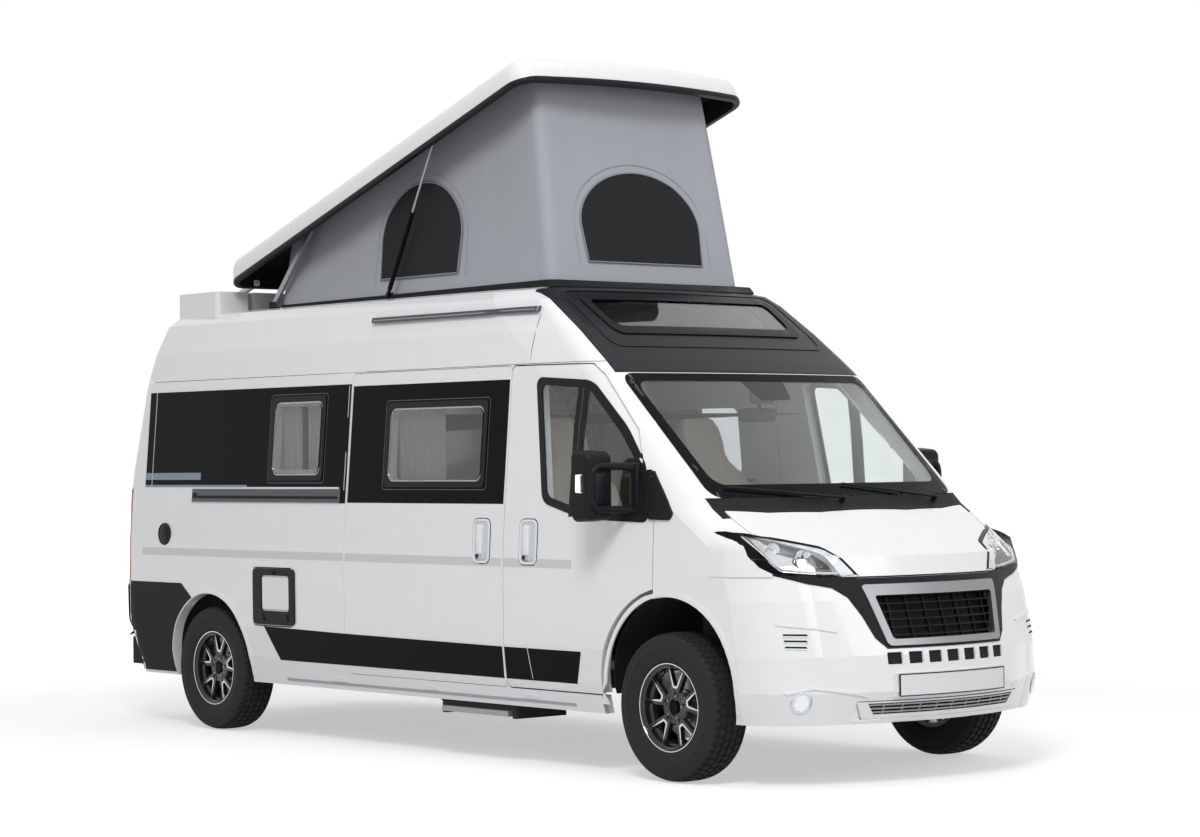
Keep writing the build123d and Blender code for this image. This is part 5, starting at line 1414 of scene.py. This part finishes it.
# Cab seats, curtains and what shows through the glass. Seat places are from the hip point
inside = {
    "seatX": 0.480, "hipY": -0.900, "hipZ": 0.965, "lean": math.radians(19),
    # height up the back, half width, half thickness, bolster depth
    "back": ((-0.08, 0.205, 0.050, 0.0), (-0.05, 0.232, 0.066, 0.010), (0.04, 0.240, 0.072, 0.030),
             (0.18, 0.250, 0.074, 0.045), (0.34, 0.256, 0.070, 0.045), (0.45, 0.246, 0.064, 0.034),
             (0.53, 0.205, 0.058, 0.020), (0.585, 0.155, 0.052, 0.008), (0.63, 0.138, 0.052, 0.004),
             (0.70, 0.140, 0.058, 0.004), (0.78, 0.134, 0.055, 0.002), (0.83, 0.112, 0.044, 0.0),
             (0.85, 0.078, 0.026, 0.0)),
    # distance ahead of the hip, half width, half thickness, bolster height
    "base": ((0.03, 0.200, 0.045, 0.0), (0.0, 0.235, 0.070, 0.015), (-0.12, 0.246, 0.080, 0.034),
             (-0.28, 0.250, 0.080, 0.030), (-0.40, 0.244, 0.070, 0.014), (-0.455, 0.225, 0.050, 0.0),
             (-0.470, 0.180, 0.026, 0.0)),
    "curtainX": 0.905, "pleat": 0.011, "pleatLength": 0.046,
    # start and end behind the nose, low and high
    "rails": ((2.36, 3.26, 1.425, 1.86), (3.83, 4.38, 1.465, 1.915)),
    "curtains": {"Door": (2.80, 3.235, 1.432, 1.853), "RearA": (3.850, 4.075, 1.472, 1.908),
                 "RearB": (4.135, 4.365, 1.472, 1.908)},
    "blind": (3.862, 4.348), "blindHeights": (1.482, 1.868), "post": (4.082, 4.128, 1.466, 1.914),
    "hoodAt": (0.47, -1.72, 1.285), "hoodHalf": (0.24, 0.17, 0.095),
    "stack": ((-0.13, -1.70, 1.18), (0.15, -1.60, 1.335)),
    "screen": ((-0.105, -1.604, 1.215), (0.125, -1.597, 1.318)),
}


# A ring round a cushion: place turns (across, through) into a point; the front side is hollowed.
def stuffedRing(bm, place, half, thick, bolster, count=36):
    points = []
    for k in range(count):
        turn = math.tau * k / count
        c, s = math.cos(turn), math.sin(turn)
        across = half * math.copysign(abs(c) ** 0.42, c)
        through = thick * math.copysign(abs(s) ** 0.62, s)
        if s < 0:
            through -= bolster * (abs(across) / half) ** 3 - bolster * 0.25
        points.append(place(across, through))
    return ringOf(bm, points)


def makeSeat(word, side):
    i = inside
    x, lean = side * i["seatX"], i["lean"]
    bm = bmesh.new()
    rings = []
    for h, half, thick, bolster in i["back"]:
        y = i["hipY"] + h * math.sin(lean) + 0.02
        z = i["hipZ"] + h * math.cos(lean)
        spot = lambda a, b, y=y, z=z: (x + a, y + b * math.cos(lean), z - b * math.sin(lean))
        rings.append(stuffedRing(bm, spot, half, thick, bolster))
    bridgeRings(bm, rings)
    for ring in (rings[0], rings[-1]):
        bmesh.ops.contextual_create(bm, geom=ring[1])
    rings = []
    for ahead, half, thick, bolster in i["base"]:
        y, z = i["hipY"] + ahead, i["hipZ"] - 0.075 - 0.05 * ahead
        rings.append(stuffedRing(bm, lambda a, b, y=y, z=z: (x + a, y, z - b), half, thick, bolster))
    bridgeRings(bm, rings)
    for ring in (rings[0], rings[-1]):
        bmesh.ops.contextual_create(bm, geom=ring[1])
    seat = finishPiece("cabSeat_" + word, bm, "leather", "root", 50)
    bm = bmesh.new()
    for h in (0.10, 0.20, 0.30, 0.40):
        y = i["hipY"] + h * math.sin(lean) + 0.02 - (0.060 - 0.012) * math.cos(lean)
        z = i["hipZ"] + h * math.cos(lean) + 0.055 * math.sin(lean)
        tubeAlong(bm, [(x - 0.125, y, z), (x, y + 0.004, z), (x + 0.125, y, z)], 0.0025, 6)
    finishPiece("seatSeams_" + word, bm, "leather", "root", 50)
    bm = bmesh.new()
    boxPiece(bm, (x - 0.19, i["hipY"] - 0.36, 0.565), (x + 0.19, i["hipY"] - 0.02, i["hipZ"] - 0.150), 0.02,
             3)
    for way in (-1, 1):
        boxPiece(bm, (x + way * 0.252 - 0.012, i["hipY"] - 0.30, 0.80),
                 (x + way * 0.252 + 0.012, i["hipY"] + 0.06, 0.90), 0.01, 2)
    finishPiece("seatBase_" + word, bm, "dashSkin", "root", 40)
    bm = bmesh.new()
    armX = x - side * 0.285
    verts = boxPiece(bm, (armX - 0.024, i["hipY"] - 0.30, i["hipZ"] + 0.165),
                     (armX + 0.024, i["hipY"] + 0.06, i["hipZ"] + 0.215))
    edges = list({e for v in verts for e in v.link_edges})
    bevelEdges(bm, edges, 0.02, 4)
    finishPiece("seatArm_" + word, bm, "leather", "root", 50)
    return seat


seats = [makeSeat(word, side) for word, side in sides]
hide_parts("cab_seats")


# A pleated curtain hanging inside a side window.
def makeCurtain(name, side, s0, s1, z0, z1, rail):
    i = inside
    x, half, count = side * i["curtainX"], i["pleat"] / 2, int((s1 - s0) / i["pleatLength"] * 10)
    bm = bmesh.new()
    rows = []
    for k in range(7):
        z = z1 + (z0 - z1) * k / 6
        row = []
        for j in range(count + 1):
            s = s0 + (s1 - s0) * j / count
            deep = half * (1 + 0.35 * math.sin(s * 31)) * (0.8 + 0.2 * k / 6)
            row.append(bm.verts.new((x + deep * math.sin(math.tau * s / i["pleatLength"] + 0.15 * k),
                                     noseY + s, z)))
        rows.append([bm.edges.new(pair) for pair in zip(row, row[1:])])
    for one, two in zip(rows, rows[1:]):
        bmesh.ops.bridge_loops(bm, edges=one + two)
    cloth = finishPiece(name, bm, "curtain", "root", 70, merge=0)


for word, side in sides:
    bm = bmesh.new()
    x = side * inside["curtainX"]
    for s0, s1, z0, z1 in inside["rails"]:
        for z in (z0, z1):
            rodPiece(bm, (x, noseY + s0, z), (x, noseY + s1, z), 0.007, 12)
    finishPiece("curtainRails_" + word, bm, "railMetal", "root", 40)
    rail = "curtainRails_" + word
    for name, box in inside["curtains"].items():
        makeCurtain("curtain%s_%s" % (name, word), side, *box, rail)
    bm = bmesh.new()
    s0, s1 = inside["blind"]
    low, high = sorted((x + side * 0.012, x + side * 0.032))
    for z in inside["blindHeights"]:
        boxPiece(bm, (low, noseY + s0, z), (high, noseY + s1, z + 0.032), 0.004)
    finishPiece("blindCase_" + word, bm, "paleStripe", "root", 40)
    bm = bmesh.new()
    s0, s1, z0, z1 = inside["post"]
    low, high = sorted((x - side * 0.004, x + side * 0.010))
    boxPiece(bm, (low, noseY + s0, z0), (high, noseY + s1, z1), 0.003)
    finishPiece("curtainPost_" + word, bm, "blackSatin", "root", 40)

# Instrument hood and the fittings on the dashboard
bm = bmesh.new()
hood = bmesh.ops.create_uvsphere(bm, u_segments=32, v_segments=16, radius=1.0)["verts"]
x, y, z = inside["hoodAt"]
hx, hy, hz = inside["hoodHalf"]
for v in hood:
    v.co = (x + v.co.x * hx, y + v.co.y * hy, z + max(-0.2, v.co.z) * hz)
finishPiece("instrumentHood", bm, "dashSkin", "root", 40)
bm = bmesh.new()
boxPiece(bm, *inside["stack"], 0.02, 3)
finishPiece("centreStack", bm, "dashSkin", "root", 40)
bm = bmesh.new()
boxPiece(bm, *inside["screen"], 0.003, 2)
finishPiece("centreScreen", bm, "blackGloss", "root", 40)
print("inside made")

# Rear end. Lines are (across, height) seen from behind, the corner's (distance behind the nose, height)
rear = {
    "corner": [(5.268, 0.850), (5.880, 0.850), (5.880, 0.318), (5.400, 0.318)], "cornerZ": (0.520, 0.850),
    "cornerAxis": (0.900, 2.876), "cornerProud": 0.0075, "archS": 4.983, "archZ": 0.380, "archR": 0.424,
    "lampOuter": 0.990, "lampInner": 0.944,
    "lampCells": ((0.868, 1.010, "redLens"), (1.016, 1.090, "plateWhite"), (1.096, 1.170, "amberLens"),
                  (1.176, 1.402, "redLens")),
    "glassIn": ((0.172, 1.442), (0.758, 1.442), (0.744, 1.966), (0.172, 1.966)),
    "glassOut": ((0.138, 1.408), (0.794, 1.408), (0.777, 2.000), (0.138, 2.000)),
    "seal": ((0.04, 0.585), (0.88, 0.585), (0.88, 0.600), (0.04, 0.600)),
    "hingeAt": 0.905, "hingeHeights": (0.72, 1.18, 1.62), "hingeReach": 0.075, "hingeHalf": 0.026,
    "handleAt": (-0.16, 1.10),
    "recess": [(0.12, 0.95), (0.70, 0.95), (0.70, 1.10), (0.12, 1.10)],
    "plate": [(0.147, 0.967), (0.673, 0.967), (0.673, 1.083), (0.147, 1.083)],
    "plateLamp": [(0.30, 1.112), (0.52, 1.112), (0.52, 1.146), (0.30, 1.146)],
    "highLamp": [(-0.17, 2.318), (0.17, 2.318), (0.17, 2.346), (-0.17, 2.346)],
}
backward = (0, -1, 0)


# A panel that goes round the body's rear corner, laid on with rays towards a line inside the corner
def wrapCorner(name, side, low, high, reach, look):
    bm = bmesh.new()
    rows = []
    steps = int(reach / 2.5)
    x, y = rear["cornerAxis"]
    for k in range(12):
        z = low + (high - low) * k / 11
        centre = Vector((side * x, y, z))
        row, far = [], 0.09
        for step in range(steps + 1):
            turn = math.radians(reach * step / steps)
            out = Vector((side * math.cos(turn), math.sin(turn), 0))
            hit = skin.ray_cast(centre + out * 0.4, -out, 0.45)[0]
            if hit and 0.05 < (hit - centre).length < 0.16:
                far = (hit - centre).length
            row.append(bm.verts.new(centre + out * (far + rear["cornerProud"])))
        rows.append([bm.edges.new(pair) for pair in zip(row, row[1:])])
    for one, two in zip(rows, rows[1:]):
        bmesh.ops.bridge_loops(bm, edges=one + two)
    bmesh.ops.solidify(bm, geom=bm.faces[:], thickness=0.004)
    return finishPiece(name, bm, look, "root", 50)


for word, side in sides:
    way = (-side, 0, 0)
    r = rear
    arch = []
    for k in range(15):
        turn = math.radians(66 - 70 * k / 14)
        arch.append((r["archS"] + r["archR"] * math.cos(turn), r["archZ"] + r["archR"] * math.sin(turn)))
    # black corner panel behind the rear wheel: the real black corner trim, run down to the body's lower
    # edge; the lowest part, below the real trim, is painted shade standing in for the shadowed underside
    line = sideLine(r["corner"] + arch[::-1])
    layPanel("rearCorner_" + word, line, way, 0.0035, 0.005, "blackGrain", cell=0.05, bevel=0.002)
    wrapCorner("rearWrap_" + word, side, *r["cornerZ"], 90, "blackGrain")

    # a raised lens for each light of the tail lamp
    for k, (low, high, look) in enumerate(r["lampCells"]):
        cellLine = [(side * r["lampInner"], low), (side * r["lampOuter"], low),
                    (side * r["lampOuter"], high), (side * r["lampInner"], high)]
        layPanel("tailCell_%s_%d" % (word, k), cellLine, backward, 0.004, 0.006, look, cell=0.02,
                 bevel=0.0015)

    # rear door: glass border, hinges outside, and the seal's line
    body = "rear_door_" + word
    glassIn = [(side * x, z) for x, z in r["glassIn"]]
    glassOut = [(side * x, z) for x, z in r["glassOut"]]
    layPanel("rearGlassBorder_" + word, rounded(glassOut, 0.06), backward, 0.003, 0.006, "blackSatin", body,
             hole=rounded(glassIn, 0.045), cell=0.08, bevel=0.0015)
    for z in r["hingeHeights"]:
        bm = bmesh.new()
        at = onSkin((side * r["hingeAt"], 0, z), backward)
        rodPiece(bm, at + Vector((0, 0.010, -0.035)), at + Vector((0, 0.010, 0.035)), 0.010, 16)
        ends = sorted((at.x, at.x - side * r["hingeReach"]))
        boxPiece(bm, (ends[0], at.y - 0.002, z - r["hingeHalf"]),
                 (ends[1], at.y + 0.008, z + r["hingeHalf"]), 0.003)
        finishPiece("rearHinge_%s_%d" % (word, z * 100), bm, "whitePaint", body, 40)
    seal = [(side * x, z) for x, z in r["seal"]]
    layPanel("rearSeal_" + word, seal, backward, 0.003, 0.004, "blackSatin", body, cell=0.1, bevel=0.001)

# handle, the blank plate in its border, the lamp over it, and the high brake lamp
bm = bmesh.new()
x, z = rear["handleAt"]
at = onSkin((x, 0, z), backward)
boxPiece(bm, (at.x - 0.085, at.y - 0.004, z - 0.035), (at.x + 0.085, at.y + 0.012, z + 0.035), 0.008, 3)
boxPiece(bm, (at.x - 0.060, at.y + 0.014, z), (at.x + 0.060, at.y + 0.032, z + 0.028), 0.008, 3)
finishPiece("rearHandle", bm, "blackSatin", "rear_door_right", 40)
layPanel("rearPlateBorder", rounded(rear["recess"], 0.012), backward, 0.006, 0.008, "blackSatin",
         "rear_door_left", hole=rear["plate"], cell=0.08, bevel=0.002)
layPanel("rearPlate", rear["plate"], backward, 0.003, 0.003, "plateWhite", "rear_door_left", cell=0.08,
         bevel=0)
layPanel("rearPlateLamp", rounded(rear["plateLamp"], 0.012), backward, 0.020, 0.018, "blackSatin",
         "rear_door_left", cell=0.08, bevel=0.004)
layPanel("highBrakeLamp", rounded(rear["highLamp"], 0.010), backward, 0.008, 0.008, "redLens", cell=0.05,
         bevel=0.002)
print("rear end made")


# Studio: floor, world, lamps and camera
studio = {
    "floorHalf": 120,
    "floorShade": 0.62,       # how much of the floor's white comes from the lamps, and so can be shadowed
    "floorGlow": 0.50, "fadeStart": 4.5, "fadeEnd": 13,
    "skyLevel": 0.50,
    "keyPower": 900, "keySize": 3.5, "keyPlace": (-8.0, -8.0, 10.5),
    "frontPower": 215, "frontSize": 6, "frontPlace": (3.0, -12.0, 6.0),
    "topPower": 140, "topSize": 8, "topPlace": (0, 0, 10.5),
}


# 1 for rays from the camera, mirrored rays and rays through glass, 0 for the others.
def straightRays(tree):
    rays = tree.nodes.new("ShaderNodeLightPath")
    last = rays.outputs["Is Camera Ray"]
    for kind in ("Is Glossy Ray", "Is Transmission Ray"):
        most = tree.nodes.new("ShaderNodeMath")
        most.operation = "MAXIMUM"
        tree.links.new(last, most.inputs[0])
        tree.links.new(rays.outputs[kind], most.inputs[1])
        last = most.outputs[0]
    return last


def makeFloor():
    bm = bmesh.new()
    bmesh.ops.create_grid(bm, x_segments=1, y_segments=1, size=studio["floorHalf"])
    mesh = bpy.data.meshes.new("floor")
    bm.to_mesh(mesh)
    bm.free()
    floor = bpy.data.objects.new("floor", mesh)
    scene.collection.objects.link(floor)
    material = bpy.data.materials.new("studioFloor")
    material.use_nodes = True
    tree = material.node_tree
    tree.nodes.clear()
    lit = tree.nodes.new("ShaderNodeBsdfDiffuse")
    lit.inputs["Color"].default_value = (studio["floorShade"],) * 3 + (1,)
    glow = tree.nodes.new("ShaderNodeEmission")
    dark = tree.nodes.new("ShaderNodeEmission")
    dark.inputs["Strength"].default_value = 0
    both = tree.nodes.new("ShaderNodeAddShader")
    pick = tree.nodes.new("ShaderNodeMixShader")
    out = tree.nodes.new("ShaderNodeOutputMaterial")
    link = tree.links.new
    place = tree.nodes.new("ShaderNodeTexCoord")
    reach = tree.nodes.new("ShaderNodeVectorMath")
    reach.operation = "LENGTH"
    fade = tree.nodes.new("ShaderNodeMapRange")
    fade.inputs["From Min"].default_value = studio["fadeStart"]
    fade.inputs["From Max"].default_value = studio["fadeEnd"]
    fade.inputs["To Min"].default_value = studio["floorGlow"]
    fade.inputs["To Max"].default_value = 1
    link(place.outputs["Object"], reach.inputs[0])
    link(reach.outputs["Value"], fade.inputs["Value"])
    link(fade.outputs["Result"], glow.inputs["Strength"])
    link(straightRays(tree), pick.inputs["Fac"])
    link(dark.outputs[0], pick.inputs[1])
    link(glow.outputs[0], pick.inputs[2])
    link(lit.outputs[0], both.inputs[0])
    link(pick.outputs[0], both.inputs[1])
    link(both.outputs[0], out.inputs["Surface"])
    mesh.materials.append(material)


def makeWorld():
    world = bpy.data.worlds.new("studioSky")
    scene.world = world
    world.use_nodes = True
    tree = world.node_tree
    tree.nodes.clear()
    sky = tree.nodes.new("ShaderNodeBackground")
    sky.inputs["Color"].default_value = (0.97, 0.98, 1.0, 1)
    sky.inputs["Strength"].default_value = studio["skyLevel"]
    white = tree.nodes.new("ShaderNodeBackground")
    white.inputs["Color"].default_value = (1, 1, 1, 1)
    pick = tree.nodes.new("ShaderNodeMixShader")
    out = tree.nodes.new("ShaderNodeOutputWorld")
    link = tree.links.new
    link(straightRays(tree), pick.inputs["Fac"])
    link(sky.outputs[0], pick.inputs[1])
    link(white.outputs[0], pick.inputs[2])
    link(pick.outputs[0], out.inputs["Surface"])


def softLamp(name, place, power, size, aim=(0, 0, 1.2)):
    lamp = bpy.data.lights.new(name, "AREA")
    lamp.energy = power
    lamp.size = size
    holder = bpy.data.objects.new(name, lamp)
    holder.location = place
    holder.rotation_mode = "QUATERNION"
    holder.rotation_quaternion = (Vector(aim) - Vector(place)).to_track_quat("-Z", "Y")
    scene.collection.objects.link(holder)


makeFloor()
makeWorld()
softLamp("keyLamp", studio["keyPlace"], studio["keyPower"], studio["keySize"])
softLamp("frontLamp", studio["frontPlace"], studio["frontPower"], studio["frontSize"])
softLamp("topLamp", studio["topPlace"], studio["topPower"], studio["topSize"])

# The camera, set against the photograph: place in metres, angles in radians
cameraSet = {"place": (-10.2994, -12.6240, 1.5553), "yaw": 0.705076, "pitch": -0.002263, "roll": -0.010463,
             "lens": 88.08, "shiftX": -0.01509, "shiftY": 0.03933}


def makeCamera():
    yaw, pitch, roll = cameraSet["yaw"], cameraSet["pitch"], cameraSet["roll"]
    ahead = Vector((math.sin(yaw) * math.cos(pitch), math.cos(yaw) * math.cos(pitch), math.sin(pitch)))
    level = Vector((math.cos(yaw), -math.sin(yaw), 0))
    upright = level.cross(ahead)
    right = level * math.cos(roll) + upright * math.sin(roll)
    up = upright * math.cos(roll) - level * math.sin(roll)
    data = bpy.data.cameras.new("studioCamera")
    data.lens = cameraSet["lens"]
    data.sensor_width = 36
    data.shift_x, data.shift_y = cameraSet["shiftX"], cameraSet["shiftY"]
    data.clip_end = 400
    camera = bpy.data.objects.new("studioCamera", data)
    turn = Matrix((right, up, -ahead)).transposed().to_4x4()
    camera.matrix_world = Matrix.Translation(cameraSet["place"]) @ turn
    scene.collection.objects.link(camera)
    scene.camera = camera


makeCamera()
scene.view_settings.view_transform = "Standard"
print("studio and camera ready")
